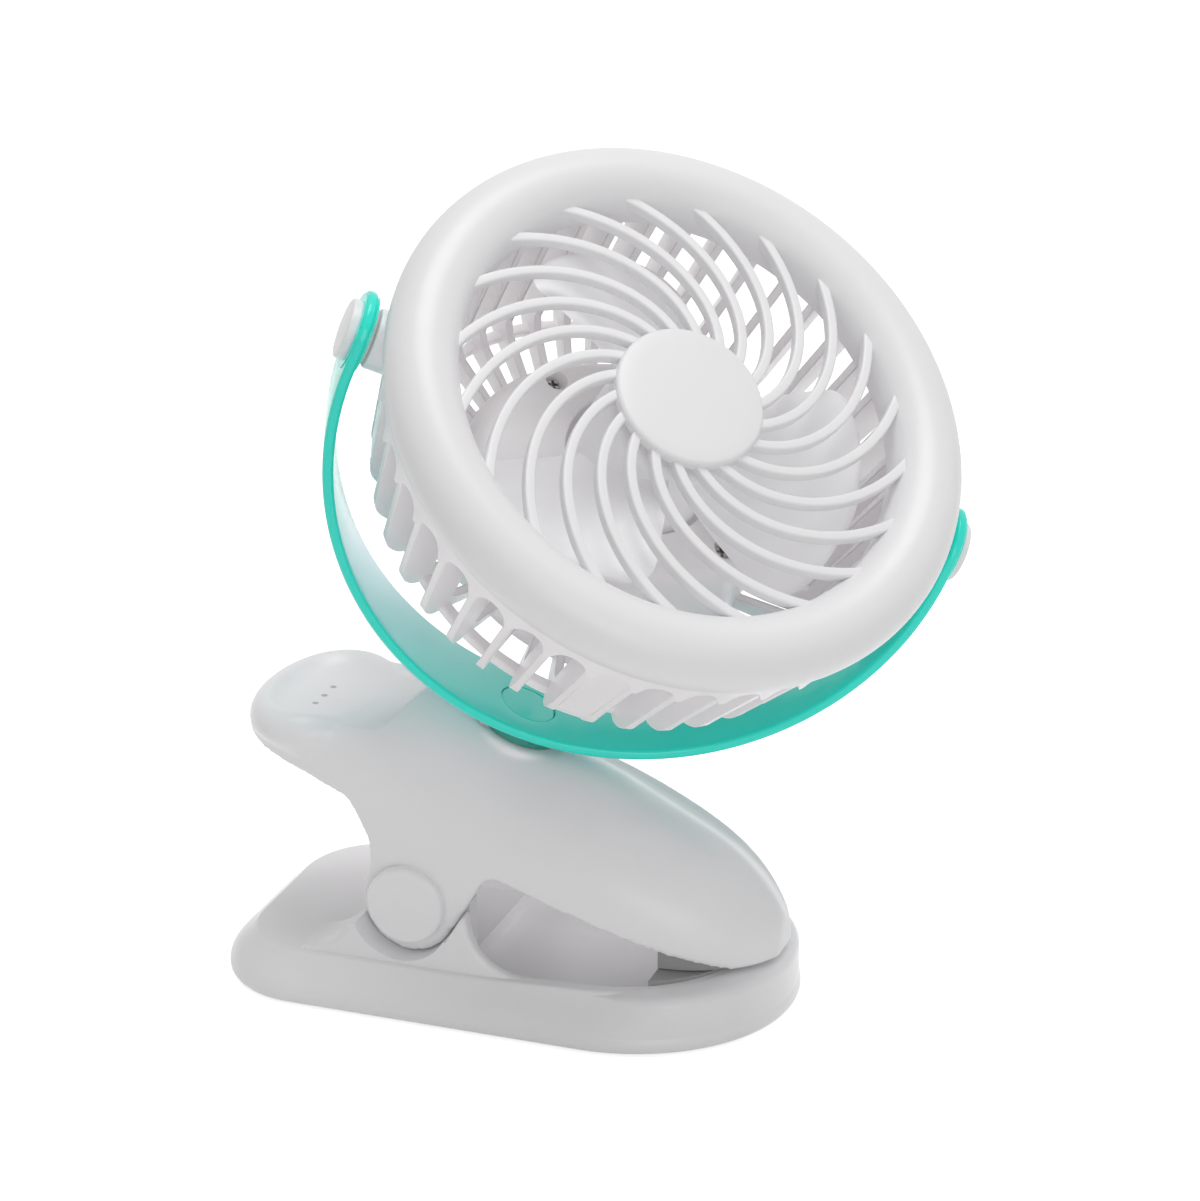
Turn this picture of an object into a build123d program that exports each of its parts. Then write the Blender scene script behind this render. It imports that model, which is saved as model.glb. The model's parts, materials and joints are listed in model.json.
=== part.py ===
from build123d import *
import math
import os

os.makedirs("parts", exist_ok=True)

# Angles of the pose, in degrees
swivel_lean = 24.7
swivel_turn = 23.2
face_tilt = 61.85
half_turn = 180
quarter_turn = 90

# Clearances
moving_gap = 0.4
running_gap = 0.05
fit_gap = 0.1

# Stand and lower jaw
base_half_width = 39.8
base_tail_x = -69.0
base_nose_x = 71.2
nose_arc_length = 41.5
tail_arc_length = 24.0
tail_arc_width = 27.0
flank_height = 17.0
flank_inset = 9.0
flank_level_shares = ((0.0, 0.06), (0.05, 0.0), (0.22, 0.03), (0.46, 0.38), (0.7, 0.8), (1.0, 1.0))
plateau_z = 11.6
rim_nose_z = 14.6
rim_start_x = -4.0
rim_round = 1.3
tray_inset = 10.8
tray_start_x = -4.0
tray_floor_z = 7.4
tray_corner = 6.0
pad_start_x = 43.0
pad_seat_z = 9.6
mat_thickness = 0.8
mat_inset = 9.0
sole_thickness = 2.0
sole_inset = 3.6
sole_ledge = 2.6
pocket_inset = 13.0
pocket_roof_z = 4.8
tail_pocket_roof_z = 9.0
tail_pocket_end_x = -40.0
sole_screw_x = 46.0
sole_screw_y = 19.0
sole_screw_radius = 1.5
sole_screw_head_radius = 2.8
sole_screw_head_height = 1.2
sole_screw_length = 5.0
screw_post_radius = 4.0

# Clip pin and lugs
pin_x = -18.5
pin_z = 25.5
pin_radius = 3.0
lug_inner_y = 16.8
lug_outer_y = 21.6
lug_radius = 10.5
shoulder_outer_y = 31.4
shoulder_back = 13.6
shoulder_back_drop = 5.5
shoulder_front = 17.0
shoulder_rise = 0.8
shoulder_foot_back = 26.0
shoulder_foot_front = 31.0
shoulder_round = 1.5
shoulder_sink = 2.0
shoulder_foot_z = 12.4

# Upper jaw
jaw_tail_x = -66.8
jaw_length = 136.3
jaw_half_width = 27.3
jaw_top_z = 74.0
jaw_wall = 2.4
jaw_floor_z = 4.0
jaw_section_shares = (
    (0.004, 0.24, 0.885, 0.790),
    (0.022, 0.54, 0.925, 0.785),
    (0.050, 0.72, 0.950, 0.780),
    (0.090, 0.81, 0.968, 0.775),
    (0.200, 0.855, 0.985, 0.740),
    (0.320, 0.935, 1.0, 0.640),
    (0.420, 0.985, 0.972, 0.560),
    (0.500, 1.0, 0.884, 0.500),
    (0.610, 1.0, 0.794, 0.430),
    (0.720, 0.970, 0.703, 0.370),
    (0.820, 0.870, 0.612, 0.315),
    (0.900, 0.690, 0.525, 0.270),
    (0.950, 0.500, 0.440, 0.245),
    (0.980, 0.325, 0.370, 0.235),
    (0.996, 0.160, 0.310, 0.230),
)
crown_side_shares = (0.80, 0.90)
crown_rise_shares = (0.62, 0.76)
tail_square_share = 0.36
ear_radius = 12.5
edge_round = 4.5
lever_edge_z = 62.5
elbow_x = -34.5
elbow_z = 49.5
neck_x = -29.0
neck_z = 40.0
ear_front_x = -7.5
ear_front_z = 19.0
notch_x = 2.5
notch_z = 36.2
lip_x = 61.0
lip_z = 15.4
lip_end_z = 15.1
pad_plane_z = 66.8
pad_centre_x = -47.0
pad_cut_radius = 26.0
dish_half_length = 13.5
dish_half_width = 18.5
dish_depth = 1.7
dish_x = -50.0
dot_radius = 0.75
dot_depth = 0.6
dot_pitch = 5.6
web_z = 22.4
web_thickness = 2.4
jaw_pad_length = 22.5
jaw_pad_half_width = 19.2
pad_meet_z = 14.9
cap_radius = 9.8
cap_seat_y = 26.0
cap_outer_y = 28.6
cap_round = 0.9
ear_boss_radius = 7.0

# Torsion spring
wire_radius = 0.8
coil_radius = 4.7
coil_half_span = 8.0
coil_turns = 6
spring_rest_x = -38.0
spring_rest_length = 6.0
spring_rest_z = 57.4
spring_rest_width = 5.0
base_leg_end_x = -36.0

# Swivel
swivel_x = 0.8
swivel_z = 65.1
seat_radius = 13.0
collar_radius = 11.0
collar_height = 2.6
swivel_bolt_radius = 2.5
swivel_head_radius = 4.4
swivel_head_height = 1.9
swivel_boss_radius = 8.0
swivel_boss_length = 9.0
washer_thickness = 1.0
nut_height = 3.6
nut_radius = 4.6
nut_sides = 6
cover_radius = 7.0
cover_thickness = 1.2
cover_crown = 0.5

# Yoke
yoke_inner_radius = 73.0
yoke_drop = 4.5
yoke_thickness = 2.6
yoke_base_half_width = 13.2
yoke_ear_radius = 10.0
yoke_edge_round = 0.9
ear_disc_proud = 0.25
ear_disc_inset = 0.5
tilt_shank_radius = 2.5
tilt_head_radius = 4.4
tilt_head_height = 0.7
tilt_screw_depth = 10.0
tilt_cap_radius = 7.2
tilt_cap_height = 2.2
tilt_cap_wall = 0.8
tilt_cap_round = 0.7
friction_washer_radius = 6.6
friction_washer_thickness = 0.9

# Front ring, bars and disc
ring_radius = 71.0
ring_tube = 8.6
ring_plane_z = 13.3
ring_rear_z = 9.7
groove_inner_radius = 61.0
groove_outer_radius = 66.5
groove_depth = 5.6
disc_radius = 18.1
disc_front_z = 22.0
disc_thickness = 3.4
disc_round = 0.8
bar_count = 20
bar_width = 1.9
bar_depth = 3.2
bar_front_inner_z = 21.0
bar_front_outer_z = 17.9
bar_root_radius = 16.5
bar_tip_radius = 56.0
bar_sweep = 62.0
bar_phase = -1.2
bar_path_shares = (0.0, 0.25, 0.5, 0.75, 1.0)

# Rear cage
cage_radius = 69.0
cage_front_z = 8.0
side_low_radius = 61.4
side_low_z = -25.5
corner_end_radius = 54.2
corner_end_z = -35.6
fin_inner_radius = 55.5
fin_low_radius = 52.8
fin_low_z = -29.0
fin_bend_radius = 50.0
fin_bend_z = -31.8
fin_root_z = -36.6
fin_count = 40
fin_thickness = 1.8
cage_shell = 2.0
panel_inset = 0.3
corner_ring_radius = 52.0
corner_ring_width = 2.8
corner_ring_low_z = -35.8
corner_ring_high_z = -33.0
hub_plate_radius = 34.0
hub_plate_front_z = -16.0
hub_plate_thickness = 3.0
drum_wall = 2.0
drum_rear_z = -40.8
drum_post_radius = 4.4
spigot_radius = 64.6
spigot_width = 1.8
spigot_height = 4.0
bottom_panel_pitches = 1.2
pivot_panel_pitches = 2.6
boss_radius = 7.2
boss_root_radius = 58.0

# Motor and impeller
motor_radius = 12.2
motor_front_z = 4.0
motor_cap_radius = 5.0
motor_cap_height = 1.6
shaft_radius = 1.0
shaft_tail = 12.0
hub_radius = 17.4
hub_front_z = 13.4
hub_rear_z = -12.8
hub_wall = 1.8
hub_round = 2.5
hub_core_radius = 3.4
hub_core_length = 5.4
blade_count = 3
blade_tip_radius = 49.5
blade_thickness = 1.7
blade_mid_z = 2.6
blade_root_chord = 26.0
blade_tip_chord = 60.0
blade_root_pitch = -40.0
blade_tip_pitch = -17.0
blade_round = 14.0
blade_phase = -2.0
hub_screw_radius_at = 26.4
hub_screw_angle = 148.5
hub_screw_radius = 1.5
hub_screw_head_radius = 2.7
hub_screw_head_height = 1.7
hub_screw_length = 28.0
hub_screw_pad_radius = 5.2
hub_screw_pad_height = 1.4
cross_length = 3.2
cross_width = 0.8
cross_depth = 0.9

# Pod behind the head
pod_length = 74.0
pod_width = 35.0
pod_wall = 2.0
pod_shell_rear_z = -57.6
pod_cover_thickness = 2.4
pod_cover_round = 2.0
cell_radius = 7.1
cell_length = 50.0
cell_nub_radius = 3.0
cell_nub_length = 1.4
cell_y = -5.8
cell_z = -50.2
board_length = 42.0
board_height = 11.0
board_thickness = 1.2
board_y = 8.2
board_z = -50.0
switch_size = 5.0
switch_height = 1.8
button_radius = 4.6
button_proud = 1.2
button_travel = 1.0
button_flange = 1.2
button_flange_height = 1.2
inlet_x = 15.0
inlet_width = 7.6
inlet_height = 2.7
inlet_wall = 0.5
lens_x = -17.0
lens_radius = 1.5
post_x = 27.6
post_y = 9.0
post_radius = 3.0
pod_screw_radius = 1.3
pod_screw_head_radius = 2.3
pod_screw_head_height = 1.3
pod_screw_length = 8.0


def frame_of_pose():
    lean = math.radians(swivel_lean)
    turn = math.radians(swivel_turn)
    tilt = math.radians(face_tilt)
    up = Vector(math.sin(lean), 0, math.cos(lean))
    along = Vector(math.cos(lean), 0, -math.sin(lean))
    across = along * math.cos(turn) + Vector(0, 1, 0) * math.sin(turn)
    ahead = across.cross(up)
    face = ahead * math.cos(tilt) + up * math.sin(tilt)
    return up, across, face


def cylinder_between(radius, start, end):
    axis = Vector(end) - Vector(start)
    return extrude(Plane(origin=start, z_dir=axis) * Circle(radius), amount=axis.length)


def lathe(*points):
    return revolve(Plane.XZ * make_face(Polyline(*points, close=True)), Axis.Z)


def cross_slot(x, y, z, depth):
    bars = Rectangle(cross_length, cross_width) + Rectangle(cross_width, cross_length)
    return extrude(Pos(x, y, z) * bars, amount=depth)


up_dir, across_dir, face_dir = frame_of_pose()
yoke_outer_radius = yoke_inner_radius + yoke_thickness
yoke_bed_z = -yoke_drop - yoke_inner_radius
yoke_foot_z = -yoke_drop - yoke_outer_radius
seat_distance = collar_height + moving_gap - yoke_foot_z
swivel_foot = Vector(swivel_x, 0, swivel_z)
pivot_centre = swivel_foot + up_dir * seat_distance
yoke_plane = Plane(origin=pivot_centre, x_dir=across_dir, z_dir=up_dir)
head_plane = Plane(origin=pivot_centre, x_dir=across_dir, z_dir=face_dir)
seat_plane = Plane(origin=swivel_foot, x_dir=across_dir, z_dir=up_dir)
side_plane = Plane(origin=(0, 0, 0), x_dir=(1, 0, 0), z_dir=(0, -1, 0))


def quarter_arc(centre, x_radius, y_radius, start):
    return EllipticalCenterArc(centre, x_radius, y_radius, start, arc_size=quarter_turn)


# Stand outline at one level, drawn in from its widest by the inset
def base_outline(inset):
    half = base_half_width - inset
    nose_centre = base_nose_x - nose_arc_length
    nose = nose_arc_length - inset
    tail_centre = base_tail_x + tail_arc_length
    corner_y = base_half_width - tail_arc_width
    corner_x = tail_arc_length - inset
    corner_w = tail_arc_width - inset
    return make_face([
        Line((tail_centre, -half), (nose_centre, -half)),
        quarter_arc((nose_centre, 0), nose, half, -quarter_turn),
        quarter_arc((nose_centre, 0), nose, half, 0),
        Line((nose_centre, half), (tail_centre, half)),
        quarter_arc((tail_centre, corner_y), corner_x, corner_w, quarter_turn),
        Line((tail_centre - corner_x, corner_y), (tail_centre - corner_x, -corner_y)),
        quarter_arc((tail_centre, -corner_y), corner_x, corner_w, half_turn),
    ])


def slab(face, low, high):
    return extrude(Pos(0, 0, low) * face, amount=high - low)


def side_prism(face, half_span):
    return extrude(side_plane * face, amount=half_span, both=True)


reach = base_nose_x - base_tail_x


# Side view of the shoulder under the ear
def shoulder_face():
    low = plateau_z - shoulder_sink
    back_top = (pin_x - shoulder_back, pin_z - shoulder_back_drop)
    front_top = (pin_x + shoulder_front, pin_z + shoulder_rise)
    back_foot = (pin_x - shoulder_foot_back, shoulder_foot_z)
    front_foot = (pin_x + shoulder_foot_front, shoulder_foot_z)
    outline = make_face([
        Line(back_top, front_top),
        TangentArc(front_foot, front_top, tangent=(-1, 0)),
        Polyline(front_foot, (front_foot[0], low), (back_foot[0], low), back_foot),
        TangentArc(back_foot, back_top, tangent=(1, 0)),
    ])
    return Pos(0, -lug_inner_y, 0) * (side_plane * outline)


# Lower jaw and stand
def make_base():
    levels = []
    for height_share, inset_share in flank_level_shares:
        level = mat_thickness + height_share * (flank_height - mat_thickness)
        levels.append(Pos(0, 0, level) * base_outline(inset_share * flank_inset))
    body = loft(levels)
    top_line = Polyline(
        (base_tail_x - reach, 0), (base_nose_x, 0), (base_nose_x, rim_nose_z),
        (rim_start_x, plateau_z), (base_tail_x - reach, plateau_z), close=True)
    body = body & side_prism(make_face(top_line), reach)
    tops = body.edges().filter_by(lambda e: e.center().Z > plateau_z - fit_gap)
    tops = tops.filter_by(lambda e: abs(e.center().X - rim_start_x) > fit_gap)
    body = fillet(tops, rim_round)
    shoulder = extrude(shoulder_face(), amount=shoulder_outer_y - lug_inner_y)
    outer_edges = shoulder.faces().sort_by(Axis.Y)[0].edges()
    shoulder = fillet(outer_edges.filter_by(lambda e: e.center().Z > shoulder_foot_z), shoulder_round)
    body = body + shoulder + mirror(shoulder, Plane.XZ)
    tray = slab(base_outline(tray_inset), tray_floor_z, 2 * pin_z)
    tray_box = Pos(tray_start_x + reach / 2, 0, tray_floor_z) * Box(reach, reach, reach)
    tray = tray & tray_box
    back_edges = tray.edges().filter_by(Axis.Z).sort_by(Axis.X)[:2]
    tray = fillet(back_edges, tray_corner)
    seat_block = Pos(pad_start_x + reach / 2, 0, pad_seat_z - reach / 2) * Box(reach, reach, reach)
    body = body - (tray - seat_block)
    ledge_z = mat_thickness + sole_thickness
    body = body - slab(base_outline(sole_inset), 0, ledge_z)
    body = body - slab(base_outline(sole_inset + sole_ledge), 0, pocket_roof_z)
    tail_room = slab(base_outline(pocket_inset), 0, tail_pocket_roof_z)
    tail_room = tail_room & (Pos(tail_pocket_end_x - reach / 2, 0, 0) * Box(reach, reach, reach))
    body = body - tail_room
    for x in (-sole_screw_x, sole_screw_x):
        for y in (-sole_screw_y, sole_screw_y):
            post = slab(Pos(x, y) * Circle(screw_post_radius), ledge_z, tail_pocket_roof_z)
            hole = slab(Pos(x, y) * Circle(sole_screw_radius), 0, mat_thickness + sole_screw_length)
            body = body + post - hole
    front_line = make_face(Polyline((pin_x, pin_z), (ear_front_x + 2 * moving_gap, ear_front_z),
                                    (notch_x + 2 * moving_gap, notch_z), (pin_x, notch_z), close=True))
    cradle_face = Pos(pin_x, pin_z) * Circle(ear_radius + moving_gap) + front_line
    cradle = extrude(Pos(0, -lug_outer_y, 0) * (side_plane * cradle_face), amount=reach)
    body = body - cradle - mirror(cradle, Plane.XZ)
    lug_face = Pos(pin_x, pin_z) * Circle(lug_radius)
    lug_foot = Pos(pin_x, (pin_z + plateau_z) / 2) * Rectangle(2 * lug_radius, pin_z - plateau_z)
    lug = extrude(Pos(0, -lug_inner_y, 0) * (side_plane * (lug_face + lug_foot)), amount=lug_outer_y - lug_inner_y)
    body = body + lug + mirror(lug, Plane.XZ)
    return body - side_prism(Pos(pin_x, pin_z) * Circle(pin_radius + running_gap), lug_outer_y + moving_gap)


base_shell = make_base()
ledge_top = mat_thickness + sole_thickness
sole_plate = slab(base_outline(sole_inset + fit_gap), mat_thickness, ledge_top)
sole_screws = []
for screw_x in (-sole_screw_x, sole_screw_x):
    for screw_y in (-sole_screw_y, sole_screw_y):
        spot = Pos(screw_x, screw_y)
        head_top = mat_thickness + sole_screw_head_height
        sole_plate = sole_plate - slab(spot * Circle(sole_screw_head_radius), 0, head_top)
        sole_plate = sole_plate - slab(spot * Circle(sole_screw_radius), 0, ledge_top)
        screw = slab(spot * Circle(sole_screw_head_radius), mat_thickness, head_top)
        screw = screw + slab(spot * Circle(sole_screw_radius), mat_thickness, mat_thickness + sole_screw_length)
        screw = screw - cross_slot(screw_x, screw_y, mat_thickness, cross_depth)
        sole_screws.append(screw)
foot_mat = slab(base_outline(mat_inset), 0, mat_thickness)
lower_pad_face = base_outline(tray_inset + fit_gap)
lower_pad_face = lower_pad_face & (Pos(pad_start_x + reach / 2, 0) * Rectangle(reach, reach))
lower_jaw_pad = slab(lower_pad_face, pad_seat_z, pad_meet_z - moving_gap / 2)


# Upper jaw: one arched section across the clip
def arch(x, half, top, shoulder, square):
    side = crown_side_shares[0] + square * (crown_side_shares[1] - crown_side_shares[0])
    rise = crown_rise_shares[0] + square * (crown_rise_shares[1] - crown_rise_shares[0])
    haunch = shoulder + rise * (top - shoulder)
    crown = Spline((-half, shoulder), (-side * half, haunch), (0, top), (side * half, haunch), (half, shoulder),
                   tangents=((0, 1), (0, -1)))
    walls = Polyline((half, shoulder), (half, jaw_floor_z), (-half, jaw_floor_z), (-half, shoulder))
    across_plane = Plane(origin=(x, 0, 0), x_dir=(0, 1, 0), z_dir=(1, 0, 0))
    return across_plane * make_face(crown + walls)


def jaw_form(inset, top_limit):
    sections = []
    for x_share, half_share, top_share, shoulder_share in jaw_section_shares:
        x = jaw_tail_x + inset + x_share * (jaw_length - 2 * inset)
        half = half_share * (jaw_half_width - inset)
        top = top_share * jaw_top_z - inset
        if x_share < tail_square_share:
            top = min(top, top_limit)
        shoulder = min(shoulder_share * jaw_top_z, top) - inset
        square = max(0.0, 1.0 - x_share / tail_square_share)
        sections.append(arch(x, half, top, shoulder, square))
    return loft(sections)


def jaw_side_view():
    far_x = jaw_tail_x + 2 * jaw_length
    back_x = jaw_tail_x - jaw_length
    high_z = 2 * jaw_top_z
    edge = FilletPolyline(
        (back_x, lever_edge_z), (jaw_tail_x, lever_edge_z), (elbow_x, elbow_z), (neck_x, neck_z),
        (neck_x, pin_z), (ear_front_x, ear_front_z), (notch_x, notch_z), (lip_x, lip_z),
        (far_x, lip_end_z), (far_x, high_z), (back_x, high_z), radius=edge_round, close=True)
    return make_face(edge) + Pos(pin_x, pin_z) * Circle(ear_radius)


def make_upper_jaw():
    pad_plane = Plane(origin=(pad_centre_x, 0, pad_plane_z))
    outer = jaw_form(0, 2 * jaw_top_z)
    pad_face = Circle(pad_cut_radius) + Pos(-jaw_length / 2, 0) * Rectangle(jaw_length, 2 * pad_cut_radius)
    outer = outer - extrude(pad_plane * pad_face, amount=jaw_top_z)
    outer = outer - extrude(seat_plane * Circle(seat_radius), amount=jaw_top_z)
    outer = outer + extrude(seat_plane * Circle(seat_radius), amount=-swivel_boss_length)
    inner = jaw_form(jaw_wall, pad_plane_z - dish_depth - jaw_wall)
    hollow = inner - extrude(seat_plane * Circle(swivel_boss_radius), amount=-swivel_boss_length)
    web = Pos(pad_start_x + reach / 2, 0, web_z + web_thickness / 2) * Box(reach, reach, web_thickness)
    hollow = hollow - web
    rest_high = jaw_top_z
    rest = Box(spring_rest_length, spring_rest_width, rest_high, align=(Align.CENTER, Align.CENTER, Align.MIN))
    rest = Pos(spring_rest_x, coil_half_span + 4 * wire_radius, spring_rest_z) * rest
    hollow = hollow - rest
    body = (outer - hollow) & side_prism(jaw_side_view(), reach)
    boss_face = Pos(pin_x, pin_z) * Circle(ear_boss_radius)
    boss_start = lug_outer_y + moving_gap
    boss = extrude(Pos(0, -boss_start, 0) * (side_plane * boss_face), amount=cap_seat_y - boss_start)
    seat_face = Pos(pin_x, pin_z) * Circle(cap_radius + fit_gap)
    cap_seat = extrude(Pos(0, -cap_seat_y, 0) * (side_plane * seat_face), amount=reach)
    body = body + boss + mirror(boss, Plane.XZ) - cap_seat - mirror(cap_seat, Plane.XZ)
    body = body - side_prism(Pos(pin_x, pin_z) * Circle(pin_radius), reach)
    body = body - extrude(seat_plane * Circle(swivel_bolt_radius + running_gap), amount=-2 * swivel_boss_length)
    bowl_radius = (dish_half_length ** 2 + dish_depth ** 2) / (2 * dish_depth)
    bowl = scale(Sphere(bowl_radius), by=(1, dish_half_width / dish_half_length, 1))
    dish_plane = pad_plane * Pos(dish_x - pad_centre_x, 0, bowl_radius - dish_depth)
    body = body - dish_plane * bowl
    for step in (-1, 0, 1):
        dot = pad_plane * Pos(dish_x - pad_centre_x, step * dot_pitch, -dish_depth - dot_depth)
        body = body - dot * extrude(Circle(dot_radius), amount=dish_depth)
    return body


upper_jaw = make_upper_jaw()
web_pad = Pos(pad_start_x, 0) * (Ellipse(jaw_pad_length, jaw_pad_half_width)
                                 & Pos(reach / 2, 0) * Rectangle(reach, reach))
upper_jaw_pad = slab(web_pad, pad_meet_z + moving_gap / 2, web_z)
upper_jaw_pad = upper_jaw_pad & jaw_form(jaw_wall + 2 * fit_gap, jaw_top_z)
clip_pin = side_prism(Pos(pin_x, pin_z) * Circle(pin_radius), cap_seat_y)
cap_face = Pos(pin_x, pin_z) * Circle(cap_radius)
pin_cap = extrude(Pos(0, -cap_seat_y, 0) * (side_plane * cap_face), amount=cap_outer_y - cap_seat_y)
pin_cap = fillet(pin_cap.edges().sort_by(Axis.Y)[0], cap_round)
pivot_caps = [pin_cap, mirror(pin_cap, Plane.XZ)]


# Torsion spring: the coil and its lower leg, then the upper arm
def make_spring():
    pitch = 2 * coil_half_span / coil_turns
    path = Helix(pitch=pitch, height=2 * coil_half_span, radius=coil_radius)
    coil = sweep(Plane(origin=path @ 0, z_dir=path % 0) * Circle(wire_radius), path=path, is_frenet=True)
    axle = Plane(origin=(pin_x, -coil_half_span, pin_z), x_dir=(0, 0, -1), z_dir=(0, 1, 0))
    coil = axle * coil
    leg_start = (pin_x, -coil_half_span, pin_z - coil_radius)
    leg_end = (base_leg_end_x, -coil_half_span, plateau_z + wire_radius)
    leg = cylinder_between(wire_radius, leg_start, leg_end)
    return coil + leg


clip_spring = make_spring()
arm_y = coil_half_span + 4 * wire_radius
arm_line_z = spring_rest_z - wire_radius
arm_bend = (spring_rest_x + spring_rest_length / 2, arm_y, arm_line_z)
arm_end = (spring_rest_x - spring_rest_length / 2, arm_y, arm_line_z)
arm_start = (pin_x - coil_radius, arm_y, pin_z)
clip_spring_arm = cylinder_between(wire_radius, arm_start, arm_bend)
clip_spring_arm = clip_spring_arm + cylinder_between(wire_radius, arm_bend, arm_end)
clip_spring_arm = clip_spring_arm + Pos(*arm_bend) * Sphere(wire_radius)
arm_eye = lathe((pin_radius, -wire_radius), (coil_radius + wire_radius, -wire_radius),
                (coil_radius + wire_radius, wire_radius), (pin_radius, wire_radius))
arm_eye_plane = Plane(origin=(pin_x, arm_y, pin_z), x_dir=(1, 0, 0), z_dir=(0, 1, 0))
clip_spring_arm = clip_spring_arm + arm_eye_plane * arm_eye
clip_spring_arm = clip_spring_arm - side_prism(Pos(pin_x, pin_z) * Circle(pin_radius), reach)


# Yoke, in its own frame: X along the tilt axis, Z up the swivel axis
def make_yoke():
    centre = Pos(0, -yoke_drop)
    band = centre * (Circle(yoke_outer_radius) - Circle(yoke_inner_radius))
    lower = Pos(0, -yoke_drop - yoke_outer_radius) * Rectangle(4 * yoke_outer_radius, 2 * yoke_outer_radius)
    band = band & lower
    ear_x = yoke_inner_radius + yoke_thickness / 2
    ear_rise = yoke_drop + yoke_ear_radius
    ear = Pos(ear_x, ear_rise / 2 - yoke_drop) * Rectangle(yoke_thickness, ear_rise)
    band = band + ear + Pos(-2 * ear_x, 0) * ear
    swept = side_prism(band, yoke_outer_radius)
    view = make_face(Polyline(
        (-yoke_base_half_width, yoke_foot_z), (yoke_base_half_width, yoke_foot_z),
        (yoke_ear_radius, 0), (-yoke_ear_radius, 0), close=True)) + Circle(yoke_ear_radius)
    end_plane = Plane(origin=(0, 0, 0), x_dir=(0, 1, 0), z_dir=(1, 0, 0))
    body = swept & extrude(end_plane * view, amount=2 * yoke_outer_radius, both=True)
    body = fillet(body.edges(), yoke_edge_round)
    ear_inner_x = yoke_inner_radius - ear_disc_inset
    for side in (-1, 1):
        inner = (side * ear_inner_x, 0, 0)
        outer = (side * (yoke_outer_radius + ear_disc_proud), 0, 0)
        body = body + cylinder_between(yoke_ear_radius - yoke_edge_round, inner, outer)
        body = body - cylinder_between(tilt_shank_radius + running_gap, (0, 0, 0), (side * 2 * ear_x, 0, 0))
    floor = (0, 0, yoke_bed_z - cover_thickness)
    body = body - cylinder_between(cover_radius + fit_gap, floor, (0, 0, 0))
    body = body - cylinder_between(swivel_head_radius + fit_gap, (0, 0, 2 * yoke_foot_z), floor)
    return body


bolt_head_high = yoke_bed_z - cover_thickness - fit_gap
bolt_head_low = bolt_head_high - swivel_head_height


def make_collar():
    body = cylinder_between(collar_radius, (0, 0, yoke_foot_z - collar_height), (0, 0, 0))
    body = body - side_prism(Pos(0, -yoke_drop) * Circle(yoke_outer_radius), yoke_outer_radius)
    body = body - cylinder_between(collar_radius + fit_gap, (0, 0, -yoke_drop), (0, 0, 0))
    body = body - cylinder_between(swivel_head_radius + fit_gap, (0, 0, bolt_head_low), (0, 0, 0))
    return body - cylinder_between(swivel_bolt_radius, (0, 0, 2 * yoke_foot_z), (0, 0, 0))


def make_swivel_bolt():
    boss_low = -seat_distance - swivel_boss_length - moving_gap
    tip = boss_low - washer_thickness - nut_height
    head = cylinder_between(swivel_head_radius, (0, 0, bolt_head_low), (0, 0, bolt_head_high))
    shank = cylinder_between(swivel_bolt_radius, (0, 0, tip), (0, 0, bolt_head_low))
    body = head + shank - cross_slot(0, 0, bolt_head_high - cross_depth, cross_depth)
    washer = cylinder_between(nut_radius, (0, 0, boss_low - washer_thickness), (0, 0, boss_low))
    washer = washer - cylinder_between(swivel_bolt_radius, (0, 0, tip), (0, 0, 0))
    nut = extrude(Pos(0, 0, tip) * RegularPolygon(nut_radius, nut_sides), amount=nut_height)
    nut = nut - cylinder_between(swivel_bolt_radius, (0, 0, tip), (0, 0, 0))
    return body, washer, nut


def make_yoke_cover():
    disc = extrude(Pos(0, 0, yoke_bed_z - cover_thickness) * Circle(cover_radius), amount=cover_thickness)
    return fillet(disc.edges().sort_by(Axis.Z)[-1], cover_crown)


yoke = make_yoke()
swivel_collar = make_collar()
swivel_bolt, swivel_washer, swivel_nut = make_swivel_bolt()
yoke_cover = make_yoke_cover()
ear_face_x = yoke_outer_radius + ear_disc_proud
washer_seat_x = yoke_inner_radius - ear_disc_inset
boss_end_x = washer_seat_x - friction_washer_thickness - moving_gap
tilt_caps = []
tilt_screws = []
friction_washers = []
for side in (-1, 1):
    cap_top = side * (ear_face_x + tilt_cap_height)
    room_top = side * (ear_face_x + tilt_cap_height - tilt_cap_wall)
    cap = cylinder_between(tilt_cap_radius, (side * ear_face_x, 0, 0), (cap_top, 0, 0))
    outer_rim = cap.edges().sort_by(Axis.X)[-1 if side > 0 else 0]
    cap = fillet(outer_rim, tilt_cap_round)
    cap = cap - cylinder_between(tilt_cap_radius - tilt_cap_wall, (side * ear_face_x, 0, 0), (room_top, 0, 0))
    tilt_caps.append(cap)
    head_low = side * (ear_face_x + moving_gap)
    head_top = side * (ear_face_x + moving_gap + tilt_head_height)
    screw = cylinder_between(tilt_shank_radius, (side * (boss_end_x - tilt_screw_depth), 0, 0), (head_low, 0, 0))
    screw = screw + cylinder_between(tilt_head_radius, (head_low, 0, 0), (head_top, 0, 0))
    tilt_screws.append(screw)
    washer_low = side * (washer_seat_x - friction_washer_thickness)
    washer = cylinder_between(friction_washer_radius, (washer_low, 0, 0), (side * washer_seat_x, 0, 0))
    washer = washer - cylinder_between(tilt_shank_radius + running_gap, (0, 0, 0), (2 * washer_low, 0, 0))
    friction_washers.append(washer)


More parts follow.
